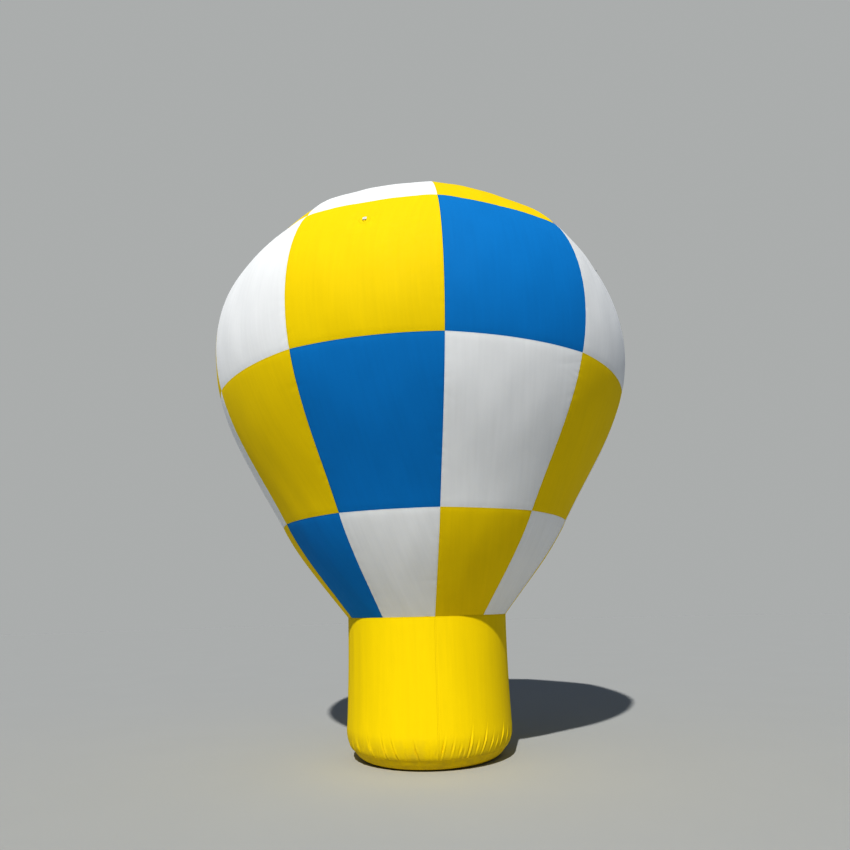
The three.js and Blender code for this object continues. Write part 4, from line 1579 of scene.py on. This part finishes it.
    def _strap(self) -> None:
        """The webbing round the sleeve and its free tail."""
        middle = self.strap_from + self.strap_width / 2
        around = np.linspace(0, TURN, 121)[:-1]
        loose = self.strap_radius + 0.5 * self.strap_thick + 0.5 * MM * np.cos(self.pleats * around)
        half, thick = self.strap_width / 2, self.strap_thick / 2
        sides = np.array((-half, 0, half))
        section = np.vstack((columns(sides, -thick), columns(sides[::-1], thick)))
        turns = np.radians(np.linspace(100, 20, 20))
        lifted = self.strap_radius + 1.6 * self.strap_thick + np.linspace(5, 0.5, 20) * MM
        lifted[-4:] += np.array((0.5, 1.4, 2.8, 4.6)) * MM
        band, tail = (
            swept(
                columns(radius * np.cos(angle), middle, self.axis_height + radius * np.sin(angle)),
                section * scale,
                (0, 1, 0),
                closed,
            )
            for radius, angle, scale, closed in (
                (loose, around, (1, 1), True), (lifted, turns, (0.98, 0.8), False),
            )
        )
        run = np.concatenate((around, TURN + turns[0] - turns)) * self.strap_radius
        cloth, length = band_places(run, section), float(run[-1])
        piece = together([band, tail]).piece("sleeve_strap_webbing", crease=50, cloth=cloth)
        finished(piece, WEBBING, "sleeve_strap")

    def _buckle(self) -> None:
        """A cam buckle: a bent frame with two cheeks, a roller drawn without its teeth, and its lever."""
        middle = self.strap_from + self.strap_width / 2
        top = self.axis_height + self.strap_radius + self.strap_thick
        axle = 9 * MM, top + 7 * MM
        pin = turned(in_mm((0, 0), (2.6, 0), (2.6, 1), (0, 1.6)), 16)
        blocks = (
            ((40, 2.2, 10), (0, -21, 5.2), 0.8), ((40, 2.2, 10), (0, 21, 5.2), 0.8),
            ((38, 42, 2), (0, 0, 1.2), 0.7), ((24, 36, 2.4), (-6, 0, 10), 1),
        )
        shapes = [
            rounded_block(tuple(s * MM for s in size), (x * MM, middle + y * MM, top + z * MM), edge * MM)
            for size, (x, y, z), edge in blocks
        ]
        roller = turned(in_mm((0, -20), (4, -20), (4, 20), (0, 20)), 20)
        shapes.append(roller.at(axle[0], middle, axle[1], AROUND_Y))
        for side, turn in ((-22 * MM, AGAINST_Y), (22 * MM, AROUND_Y)):
            shapes.append(pin.at(axle[0], middle + side, axle[1], turn))
        finished(together(shapes).piece("sleeve_strap_buckle"), ZINC_STEEL, "sleeve_strap")


# Blower


def wire_ring(radius: float, wire: float, along: float, steps: int = 72) -> Shape:
    """A ring of round wire about the X axis."""
    return turned(disc_points(wire, 12) + (radius, along), steps, AROUND_X)


def carved(body: Shape, cuts: Sequence[Shape]) -> Shape:
    """Takes closed bodies out of another.

    Args:
        body: what is cut.
        cuts: what is taken out of it.

    Returns:
        What is left.
    """
    whole = body.piece("carved_body")
    cutters = [cut.piece(f"carved_cut_{number}") for number, cut in enumerate(cuts)]
    for cutter in cutters:
        modifier = whole.modifiers.new(cutter.name, "BOOLEAN")
        modifier.operation = "DIFFERENCE"
        modifier.solver = "EXACT"
        modifier.object = cutter
    mesh = bpy.data.meshes.new_from_object(whole.evaluated_get(bpy.context.evaluated_depsgraph_get()))
    points = np.array([vertex.co for vertex in mesh.vertices])
    faces = [tuple(face.vertices) for face in mesh.polygons]
    for used in (whole.data, *(cutter.data for cutter in cutters), mesh):
        bpy.data.meshes.remove(used)
    return Shape(points, faces)


@dataclass(frozen=True)
class BlowerFrame:
    """Where the blower stands: its parts are drawn with the impeller's axis as their X axis."""

    back: float = 1.800
    axis_height: float = 0.270
    side: float = 0.100
    gap: float = 0.3 * MM

    def make(
        self, name: str, finish: Finish, shapes: Sequence[Shape], *nodes: str, body: str = "root"
    ) -> None:
        """Makes a finished piece of shapes that are drawn about the axis.

        Args:
            name: the piece's name.
            finish: its finish.
            shapes: the shapes.
            nodes: the frame's nodes that it stands for.
            body: the body that it moves with.
        """
        piece = together(shapes).at(0, self.back, self.axis_height).piece(name)
        finished(piece, finish, *nodes, body=body)


@dataclass
class Housing:
    """The scroll housing: two moulded halves that meet at a groove, with bosses, ribs and the outlet.

    Attributes:
        bosses: where the screws that clamp the halves sit, in degrees along the scroll from its front.
        duct_bosses: the same on the outlet duct, as (Y, Z) from the axis.
    """

    frame: BlowerFrame
    wall: float = 6 * MM
    edge: float = 14 * MM
    start_radius: float = 0.165
    end_radius: float = 0.230
    reach: float = 0.260
    floor: float = 0.060
    tongue: float = 0.150
    corner: float = 16 * MM
    inlet: float = 0.115
    shaft_hole: float = 0.032
    spigot: float = 0.080
    bore: float = 0.075
    spigot_length: float = 0.070
    bosses: tuple[float, ...] = (14, 44, 138, 164, 190, 216, 242, 268)
    duct_bosses: tuple[Pair, ...] = ((-0.236, 0.206), (-0.112, 0.212), (-0.236, 0.084))

    def __post_init__(self) -> None:
        """Finds the outlet's middle."""
        self.outlet_height = (self.end_radius + self.floor) / 2

    def _radius(self, degrees: Array | float) -> Array | float:
        """The scroll's radius at an angle along it."""
        return self.start_radius + (self.end_radius - self.start_radius) * degrees / 270

    def _outline(self, along: float, inset: float) -> Array:
        """The housing's side outline, drawn in by an inset.

        Args:
            along: where it lies on X.
            inset: how far it is drawn in.

        Returns:
            The points.
        """
        degrees = np.linspace(0, 270, 91)
        radius = self._radius(degrees) - inset
        scroll = -columns(radius * np.cos(np.radians(degrees)), radius * np.sin(np.radians(degrees)))
        front, top, low = -self.reach + inset, self.end_radius - inset, self.floor + inset
        round_off = self.corner - inset / 2
        arcs = []
        for height, first in ((top - round_off, 90), (low + round_off, 180)):
            sweep = np.radians(np.linspace(first, first + 90, 9))
            centre = np.array((front + round_off, height))
            arcs.append(centre + round_off * columns(np.cos(sweep), np.sin(sweep)))
        tip = np.array((-self.tongue + inset, low))
        ends = tip - (2.2 * self.corner, 0), tip + (scroll[0] - tip) * 0.5
        share = np.linspace(0, 1, 9)[:, None]
        tongue = (1 - share) ** 2 * ends[0] + 2 * share * (1 - share) * tip + share**2 * ends[1]
        return columns(along, *np.vstack((scroll, *arcs, tongue)).T)

    def _shell(self) -> Shape:
        """The hollow shell with its inlet, shaft hole and outlet.

        Returns:
            The shell.
        """
        side, edge = self.frame.side, self.edge
        turns = np.radians(np.linspace(90, 0, 7))
        half = [(-side + edge * (1 - math.sin(t)), edge * (1 - math.cos(t))) for t in turns]
        half += in_mm((-2.4, 0), (-1.4, 2.2))
        half += [(-x, inset) for x, inset in reversed(half)]
        outside = lofted([self._outline(x, inset) for x, inset in half])
        cuts = [lofted([self._outline(x, self.wall) for x in (self.wall - side, side - self.wall)])]
        for radius, length, x, y, z, turn in (
            (self.inlet, 12 * MM, -side - 3 * MM, 0, 0, AROUND_X),
            (self.shaft_hole, 12 * MM, side - 9 * MM, 0, 0, AROUND_X),
            (self.bore, 14 * MM, 0, -self.reach - 4 * MM, self.outlet_height, AROUND_Y),
        ):
            cuts.append(turned([(0, 0), (radius, 0), (radius, length), (0, length)], 72).at(x, y, z, turn))
        return carved(outside, cuts)

    def _outlet(self) -> list[Shape]:
        """The spigot with its bead, the flange that carries it, and its four screws.

        Returns:
            The shapes.
        """
        bore, outer, end = self.bore, self.spigot, self.spigot_length
        tube = [
            (bore, -4 * MM), (outer, -4 * MM), (outer, end - 14 * MM), (outer + 1.5 * MM, end - 10 * MM),
            (outer, end - 6 * MM), (outer - 1 * MM, end), (bore, end),
        ]
        flange = rounded_block((0.186, 0.162, 5 * MM), (0, 0, 0.4 * MM), 12 * MM)
        hole = turned([(0, -0.01), (bore, -0.01), (bore, 0.01), (0, 0.01)], 72)
        shapes = [turned(tube, 72), carved(flange, [hole])]
        screw = screw_head(4 * MM, 4 * MM)
        shapes += [screw.at(x, y, 2.8 * MM) for x in (-0.084, 0.084) for y in (-0.072, 0.072)]
        return [shape.at(0, -self.reach, self.outlet_height, AGAINST_Y) for shape in shapes]

    def _mouth(self) -> Shape:
        """The rounded lip that leads the air into the inlet.

        Returns:
            The lip.
        """
        turns = np.radians(np.linspace(90, 0, 9))
        centre, side = self.inlet + 7 * MM, -self.frame.side
        outer, inner = (
            [(centre - r * math.cos(t), side + 14 * MM - r * math.sin(t)) for t in arc]
            for r, arc in ((14 * MM, turns), (11.5 * MM, turns[::-1]))
        )
        ends = [(centre - 15 * MM, side + 21 * MM), (centre - 12.5 * MM, side + 21 * MM)]
        return turned([*outer, *ends, *inner], 96, AROUND_X)

    def build(self) -> None:
        """Makes the housing, with bosses, their screws and ribs on both sides."""
        boss = turned(in_mm((0, -3), (9, -3), (8.4, 2.6), (7.6, 3.2), (0, 3.2)), 28)
        mount = together([boss, screw_head(4 * MM, 4 * MM).at(0, 0, 3 * MM)])
        places = list(self.duct_bosses)
        for degrees in self.bosses:
            turn, radius = math.radians(degrees), self._radius(degrees) - self.edge - 1 * MM
            places.append((-radius * math.cos(turn), -radius * math.sin(turn)))
        shapes = [self._shell(), *self._outlet(), self._mouth()]
        for x, turn, inner in ((-self.frame.side, AGAINST_X, 0.143), (self.frame.side, AROUND_X, 0.101)):
            shapes += [mount.at(x, y, z, turn) for y, z in places]
            for degrees in self.bosses[2:]:
                outer = self._radius(degrees) - self.edge - 6 * MM
                rib = rounded_block((5 * MM, outer - inner, 4 * MM), (x, (inner + outer) / 2, 0), 1.2 * MM)
                shapes += rib.around([math.radians(degrees + 180)])
        self.frame.make("blower_housing_shell", HOUSING_PLASTIC, shapes, "blower_housing")


@dataclass
class Motor:
    """The motor: bolted flange, finned body, terminal box with its gland, and a vented cover."""

    frame: BlowerFrame
    core: float = 0.061
    fin_reach: float = 0.068
    fins: int = 40
    fin_gap: float = math.radians(33)
    bolt_circle: float = 0.084
    length: float = 0.138
    bore: float = 10.2 * MM
    box: float = 0.064
    box_middle: float = 0.054

    def _body(self) -> list[Shape]:
        """The flange, core and cover, the fins beside the terminal box, and the flange's bolts.

        Returns:
            The shapes, from the mounting face along X.
        """
        outline = in_mm(
            (0, 24), (self.bore / MM, 24), (self.bore / MM, 0), (94, 0), (95, 1), (95, 5), (94, 6), (76, 6),
            (71, 8), (66, 15), (61, 16), (61, 106), (64, 109), (64, 116), (0, 116),
        )
        cover = in_mm(
            (66, 100), (67.4, 100), (68, 101), (68, 120), (67, 126), (64, 131.5), (59, 135.6), (52, 137.7),
            (47, 138), (46, 137), (47, 136), (51.5, 135.6), (58, 133.6), (62.6, 130), (65.2, 125), (66, 120),
        )
        tall = self.fin_reach - self.core + 2 * MM
        fin = rounded_block((88 * MM, tall, 2.6 * MM), (61 * MM, self.fin_reach - tall / 2, 0), 1.1 * MM)
        turns = [turn for turn in evenly(self.fins) if math.sin(turn) < math.cos(self.fin_gap)]
        bolt = screw_head(5 * MM, 5 * MM).at(5.8 * MM, self.bolt_circle, 0, AROUND_X)
        lathed = [turned(line, 96, AROUND_X) for line in (outline, cover)]
        return [*lathed, *fin.around(turns), *bolt.around(evenly(6, 0.5))]

    def _grille(self) -> list[Shape]:
        """The wire grille in the cover's end, with its centre cap.

        Returns:
            The shapes.
        """
        level = self.length - 2 * MM
        rings = [wire_ring(radius * MM, 1.3 * MM, level, 48) for radius in (18, 28, 38)]
        bar = columns(level + 0.6 * MM, np.linspace(6, 48, 6) * MM, 0.0)
        spoke = swept(bar, disc_points(1.2 * MM, 10), (0, 0, 1))
        cap = turned(in_mm((0, -4), (9, -4), (9, 0.6), (7, 1.8), (0, 2)), 32)
        return [*rings, *spoke.around(evenly(8)), cap.at(level, 0, 0, AROUND_X)]

    def _terminals(self) -> list[Shape]:
        """The terminal box, its screwed lid and the closed cable gland.

        Returns:
            The shapes.
        """
        middle, box = self.box_middle, self.box
        shapes = [
            rounded_block((box - 3 * MM, box - 3 * MM, 0.046), (middle, 0, 0.075), 6 * MM),
            rounded_block((box, box, 6 * MM), (middle, 0, 0.099), 7 * MM),
        ]
        screw, corner = screw_head(2.6 * MM, 2.2 * MM), 24 * MM
        shapes += [screw.at(middle + x, y, 0.1018) for x in (-corner, corner) for y in (-corner, corner)]
        nut = columns(*disc_points(12 * MM, 6).T, 0.0)
        dome = turned(in_mm((0, 0), (9.4, 0), (9.4, 14), (8.6, 19), (6.4, 22), (0, 22)), 32)
        gland = [lofted([nut, nut + (0, 0, 7 * MM)]), dome]
        return [*shapes, *(shape.at(middle, box / 2 - 2 * MM, 0.085, AROUND_Y) for shape in gland)]

    def build(self) -> None:
        """Makes the motor, and the cooling fan behind the grille, which turns with the shaft."""
        face = self.frame.side + self.frame.gap
        body = [*self._body(), *self._grille(), *self._terminals()]
        body = [shape.at(face, 0, 0) for shape in body]
        self.frame.make("blower_motor_body", MOTOR_ENAMEL, body, "blower_motor")
        hub = turned(in_mm((0, 118), (44, 118), (44, 120), (16, 121), (14, 131), (0, 131)), 48, AROUND_X)
        vane = rounded_block((12 * MM, 30 * MM, 2 * MM), (125 * MM, 28 * MM, 0), 0.8 * MM)
        fan = [shape.at(face, 0, 0) for shape in (hub, *vane.around(evenly(9)))]
        self.frame.make("blower_motor_fan", FAN_PLASTIC, fan, body="impeller")


@dataclass
class Impeller:
    """The impeller: a ribbed back plate with its hub, a front ring and forward-curved blades."""

    frame: BlowerFrame
    radius: float = 0.140
    ring_inner: float = 0.116
    half_width: float = 0.074
    plate: float = 4 * MM
    blades: int = 40
    blade_thick: float = 1.8 * MM
    ribs: int = 8
    shaft: float = 9.5 * MM
    shaft_end: float = 0.1203

    def _blade(self) -> Shape:
        """One blade, curved forwards.

        Returns:
            The blade.
        """
        share = np.linspace(0, 1, 9)
        radius = self.ring_inner + 1 * MM + (self.radius - self.ring_inner - 1.5 * MM) * share
        turn = 0.03 * share + 0.17 * share**2
        line = columns(radius * np.cos(turn), radius * np.sin(turn))
        slope = np.gradient(line, axis=0)
        side = slope[:, ::-1] * (1, -1) / np.linalg.norm(slope, axis=1)[:, None] * self.blade_thick / 2
        section = np.vstack((line + side, (line - side)[::-1]))
        reach = self.half_width - self.plate / 2
        return lofted([columns(x, *section.T) for x in (-reach, 0.0, reach)])

    def build(self) -> None:
        """Makes the wheel, and the shaft with its nut."""
        rim, width, inside = self.radius, self.half_width, self.half_width - self.plate
        plate = [
            (0, 0.024), (0.024, 0.024), (0.026, 0.026), (0.0264, inside - 0.004), (0.031, inside),
            (rim - 0.001, inside), (rim, inside + 0.001), (rim, width - 0.001), (rim - 0.001, width),
            (0, width),
        ]
        ring = [
            (self.ring_inner, -width), (rim - 0.001, -width), (rim, 0.001 - width), (rim, -inside),
            (self.ring_inner, -inside),
        ]
        rib = rounded_block((14 * MM, 0.088, 4 * MM), (inside - 5 * MM, 0.070, 0), 1.2 * MM)
        wheel = [turned(line, 96, AROUND_X) for line in (plate, ring)]
        wheel += [*rib.around(evenly(self.ribs)), *self._blade().around(evenly(self.blades))]
        self.frame.make("blower_impeller_wheel", FAN_PLASTIC, wheel, "blower_impeller", body="impeller")
        shaft, end = self.shaft, self.shaft_end
        rod = [
            (0, 0.006), (0.0065, 0.006), (0.0075, 0.007), (0.0075, 0.026), (shaft, 0.028),
            (shaft, end - 0.001), (shaft - 0.001, end), (0, end),
        ]
        parts = [turned(rod, 40, AROUND_X), screw_head(11 * MM, 11 * MM).at(24 * MM, 0, 0, AGAINST_X)]
        self.frame.make("blower_impeller_shaft", ZINC_STEEL, parts, "blower_impeller", body="impeller")


@dataclass
class Guard:
    """The wire guard over the inlet: rings on spokes inside a heavier rim, held by four clips."""

    frame: BlowerFrame
    rim: float = 0.131
    rim_wire: float = 4 * MM
    rings: tuple[float, ...] = (0.012, 0.024, 0.042, 0.060, 0.0785, 0.097, 0.114)
    wire: float = 1.9 * MM
    spokes: int = 8
    spoke_wire: float = 2.6 * MM
    clips: tuple[float, ...] = (22, 112, 202, 320)

    def build(self) -> None:
        """Makes the guard."""
        face = -self.frame.side - self.frame.gap
        shapes = [wire_ring(self.rim, self.rim_wire, face - self.rim_wire)]
        shapes += [wire_ring(radius, self.wire, face - 8 * MM + self.wire, 64) for radius in self.rings]
        line = columns(face - 3.2 * MM, np.linspace(0.010, self.rim, 12), 0.0)
        shapes += swept(line, disc_points(self.spoke_wire, 10), (0, 0, 1)).around(evenly(self.spokes))
        clip = together([
            rounded_block((2.2 * MM, 0.018, 0.016), (face - 1.2 * MM, 0.1465, 0), 0.9 * MM),
            rounded_block((9 * MM, 2.4 * MM, 0.016), (face - 4.6 * MM, 0.1372, 0), 0.9 * MM),
            rounded_block((2.2 * MM, 0.016, 0.016), (face - 8.4 * MM, 0.130, 0), 0.9 * MM),
            screw_head(3.6 * MM, 3.6 * MM).at(face - 2 * MM, 0.148, 0, AGAINST_X),
        ])
        shapes += clip.around(np.radians(self.clips))
        self.frame.make("inlet_guard_wire", ZINC_STEEL, shapes, "inlet_guard")


@dataclass
class Stand:
    """The stand: a steel plate with two upright brackets bolted to the housing, on four rubber feet."""

    frame: BlowerFrame
    width: float = 0.250
    depth: float = 0.330
    plate: float = 6 * MM
    plate_height: float = 22 * MM
    foot: float = 20 * MM
    foot_taper: float = 3 * MM
    foot_inset: float = 34 * MM
    bracket: float = 5 * MM
    bracket_depth: float = 0.220
    bracket_top: float = 0.130
    bolts: tuple[float, ...] = (-0.088, 0.0, 0.088)

    def _brackets(self, floor: float) -> list[Shape]:
        """The two uprights with their lower flanges and bolts.

        Args:
            floor: the height of the floor from the axis.

        Returns:
            The shapes.
        """
        shapes = []
        low, top = floor + self.plate_height + self.plate - 1 * MM, floor + self.bracket_top
        screw = screw_head(6 * MM, 6 * MM)
        upright = rounded_block((top - low, self.bracket_depth, self.bracket), (0, 0, 0), 1.2 * MM)
        for side, turn in ((-1, AGAINST_X), (1, AROUND_X)):
            x = side * (self.frame.side + self.frame.gap + self.bracket / 2)
            shapes.append(upright.at(x, 0, (low + top) / 2, AROUND_X))
            flange = (0.016, self.bracket_depth, 5 * MM), (x + side * 8 * MM, 0, low + 2.5 * MM), 1.2 * MM
            shapes.append(rounded_block(*flange))
            shapes += [screw.at(x + side * self.bracket / 2, y, top - 16 * MM, turn) for y in self.bolts]
        return shapes

    def build(self) -> None:
        """Makes the steel frame and the feet."""
        floor = -self.frame.axis_height
        top = floor + self.plate_height + self.plate
        middle = 0, 0, floor + self.plate_height + self.plate / 2
        steel = [rounded_block((self.width, self.depth, self.plate), middle, 18 * MM), *self._brackets(floor)]
        tall, broad, narrow = self.plate_height, self.foot, self.foot - self.foot_taper
        outline = [
            (0, 0), (narrow - 1 * MM, 0), (narrow, 1 * MM), (broad - 0.5 * MM, tall - 2 * MM),
            (broad - 1.5 * MM, tall), (0, tall),
        ]
        x, y = self.width / 2 - self.foot_inset, self.depth / 2 - self.foot_inset
        spots = (-x, -y), (-x, y), (x, -y), (x, y)
        feet = [turned(outline, 40).at(*spot, floor) for spot in spots]
        steel += [screw_head(6 * MM, 5 * MM).at(*spot, top - 0.2 * MM) for spot in spots]
        self.frame.make("blower_stand_frame", ZINC_STEEL, steel, "blower_stand")
        self.frame.make("blower_stand_feet", RUBBER, feet, "blower_stand")


@dataclass
class Handle:
    """The carrying handle: a bent bar with a ribbed grip, on two screwed feet."""

    frame: BlowerFrame
    seat: float = 0.2303
    front: float = -0.198
    back: float = -0.072
    rise: float = 0.0485
    bar: float = 10.5 * MM
    bend: float = 22 * MM
    rib_pitch: float = 5 * MM

    def _path(self) -> Array:
        """The bar's line: up, round, back, round and down.

        Returns:
            The points.
        """
        low, high = self.seat + 2 * MM, self.seat + self.rise - self.bend
        points = [(self.front, low)]
        for centre, first in ((self.front + self.bend, 180), (self.back - self.bend, 90)):
            for turn in np.radians(range(first, first - 91, -9)):
                points.append((centre + self.bend * math.cos(turn), high + self.bend * math.sin(turn)))
        points.append((self.back, low))
        return columns(0.0, *np.array(points).T)

    def build(self) -> None:
        """Makes the handle."""
        shapes = [swept(self._path(), disc_points(self.bar, 24), (1, 0, 0))]
        length = self.back - self.front - 2 * self.bend
        ribs = round(length / self.rib_pitch)
        grip = [(0, 0), (self.bar, 0)]
        for number in range(ribs):
            for share, swell in ((0.1, 0.6), (0.35, 2.2), (0.65, 2.2), (0.9, 0.6)):
                grip.append((self.bar + swell * MM, length * (number + share) / ribs))
        grip += [(self.bar, length), (0, length)]
        shapes.append(turned(grip, 40).at(0, self.front + self.bend, self.seat + self.rise, AROUND_Y))
        collar = turned(in_mm((0, 0), (12.6, 0), (11, 7), (0, 7)), 32)
        for y, side in ((self.front, 1), (self.back, -1)):
            foot = (26 * MM, 0.040, 4 * MM), (0, y + side * 8 * MM, self.seat + 2 * MM), 5 * MM
            shapes += [rounded_block(*foot), collar.at(0, y, self.seat + 3.4 * MM)]
            shapes.append(screw_head(3.4 * MM, 3 * MM).at(0, y + side * 20.5 * MM, self.seat + 3.8 * MM))
        self.frame.make("blower_handle_bar", HOUSING_PLASTIC, shapes, "blower_handle")


@dataclass
class Blower:
    """The centrifugal blower that keeps the balloon inflated, standing behind the base."""

    frame: BlowerFrame = BlowerFrame()

    def build(self) -> None:
        """Makes the blower's six parts."""
        for part in (Housing, Motor, Impeller, Guard, Stand, Handle):
            part(self.frame).build()
            log.info("blower: %s", part.__name__.lower())


# Studio


@dataclass
class Studio:
    """A plain pale floor and backdrop, a soft sun in front on the left, and the photograph's camera."""

    focal_pixels: float = 635
    image_pixels: float = 850
    sensor: float = 36.0
    camera_place: Triple = (0.001, -8.12, 1.632)
    camera_pitch: float = math.radians(16.1)
    camera_roll: float = math.radians(-1.49)
    camera_yaw: float = math.radians(0.255)
    sun_azimuth: float = math.radians(-12)
    sun_elevation: float = math.radians(46)
    sun_strength: float = 2.45
    sun_angle: float = math.radians(1.2)
    sun_colour: str = "FFFEFA"
    sky: str = "CBDAEF"
    sky_overhead: float = 0.16
    sky_level: float = 0.3
    floor: FloorPaint = FloorPaint("studio_floor_paint", "BABAB8", None)
    reach: float = 80.0
    steps: int = 96

    def build(self) -> None:
        """Makes the stage, the lights and the camera."""
        bpy.context.scene.view_settings.view_transform = "Standard"
        bpy.context.scene.view_settings.look = "High Contrast"
        self._world()
        self._sun()
        self._camera()
        slab = [(0, -0.02), (self.reach, -0.02), (self.reach, 0), (0, 0)]
        floor = turned(slab, self.steps).piece("studio_floor")
        floor.data.materials.append(self.floor.material())
        self._backdrop()

    def _world(self) -> None:
        """The even light of a pale sky, brighter towards the horizon."""
        world = bpy.data.worlds.new("sky")
        world.use_nodes = True
        tree = world.node_tree
        tree.nodes.clear()
        direction = add_node(tree, "TexCoord")["Generated"]
        rise = add_node(tree, "SeparateXYZ", {0: direction})["Z"]
        fall = {"Value": rise, "To Min": self.sky_level, "To Max": self.sky_overhead}
        strength = add_node(tree, "MapRange", fall)["Result"]
        light = add_node(tree, "Background", {"Color": linear(self.sky), "Strength": strength})
        add_node(tree, "OutputWorld", {"Surface": light["Background"]})
        bpy.context.scene.world = world

    def _sun(self) -> None:
        """The key light."""
        lamp = bpy.data.lights.new("sun", "SUN")
        lamp.energy = self.sun_strength
        lamp.angle = self.sun_angle
        lamp.color = linear(self.sun_colour)[:3]
        sun = bpy.data.objects.new("sun", lamp)
        level, azimuth = math.cos(self.sun_elevation), self.sun_azimuth
        toward = Vector((level * math.sin(azimuth), -level * math.cos(azimuth), math.sin(self.sun_elevation)))
        sun.rotation_euler = toward.to_track_quat("Z", "Y").to_euler()
        bpy.context.scene.collection.objects.link(sun)

    def _camera(self) -> None:
        """The camera, where the photograph was taken from."""
        data = bpy.data.cameras.new("camera")
        data.sensor_width = self.sensor
        data.lens = self.focal_pixels / self.image_pixels * self.sensor
        data.clip_end = 3 * self.reach
        pitch, roll, yaw = self.camera_pitch, self.camera_roll, self.camera_yaw
        ahead = Vector((math.sin(yaw) * math.cos(pitch), math.cos(yaw) * math.cos(pitch), math.sin(pitch)))
        right = Vector((math.cos(yaw), -math.sin(yaw), 0))
        up = right.cross(ahead)
        tilted_right = right * math.cos(roll) + up * math.sin(roll)
        tilted_up = up * math.cos(roll) - right * math.sin(roll)
        turn = Matrix((tilted_right, tilted_up, -ahead)).transposed().to_4x4()
        camera = bpy.data.objects.new("camera", data)
        camera.matrix_world = Matrix.Translation(self.camera_place) @ turn
        bpy.context.scene.collection.objects.link(camera)
        bpy.context.scene.camera = camera

    def _backdrop(self) -> None:
        """The backdrop that only the camera sees, in the lit floor's tone."""
        reach = 0.98 * self.reach
        turns = np.linspace(0, math.pi / 2, 25)[:-1]
        arc = [(reach * math.cos(t), reach * math.sin(t)) for t in turns]
        dome = turned([(0, -0.01), (reach, -0.01), *arc, (0, reach)], self.steps).piece("studio_backdrop")
        material = bpy.data.materials.new("studio_backdrop_light")
        material.use_nodes = True
        tree = material.node_tree
        tree.nodes.clear()
        sun = self.sun_strength * math.sin(self.sun_elevation) / math.pi
        sky = (self.sky_level + 2 * self.sky_overhead) / 3
        tones = map(linear, (self.floor.colour, self.sun_colour, self.sky))
        lit = [paint * (sun * warm + sky * cool) for paint, warm, cool in zip(*tones, strict=True)]
        light = add_node(tree, "Emission", {"Color": (*lit[:3], 1.0), "Strength": 1.0})
        add_node(tree, "OutputMaterial", {"Surface": light["Emission"]})
        dome.data.materials.append(material)
        for ray in ("diffuse", "glossy", "transmission", "shadow"):
            setattr(dome, f"visible_{ray}", False)


def main() -> None:
    """Loads the frame and builds the pieces and the studio."""
    logging.basicConfig(level=logging.INFO, format="%(name)s: %(message)s")
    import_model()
    Studio().build()
    envelope = Envelope()
    ties = Ties(envelope)
    envelope.seats = ties.seats()
    base = Base(envelope)
    for assembly in (envelope, base, ties, Sleeve(base), Blower()):
        assembly.build()
        log.info("made the %s", type(assembly).__name__.lower())


if __name__ == "__main__":
    main()
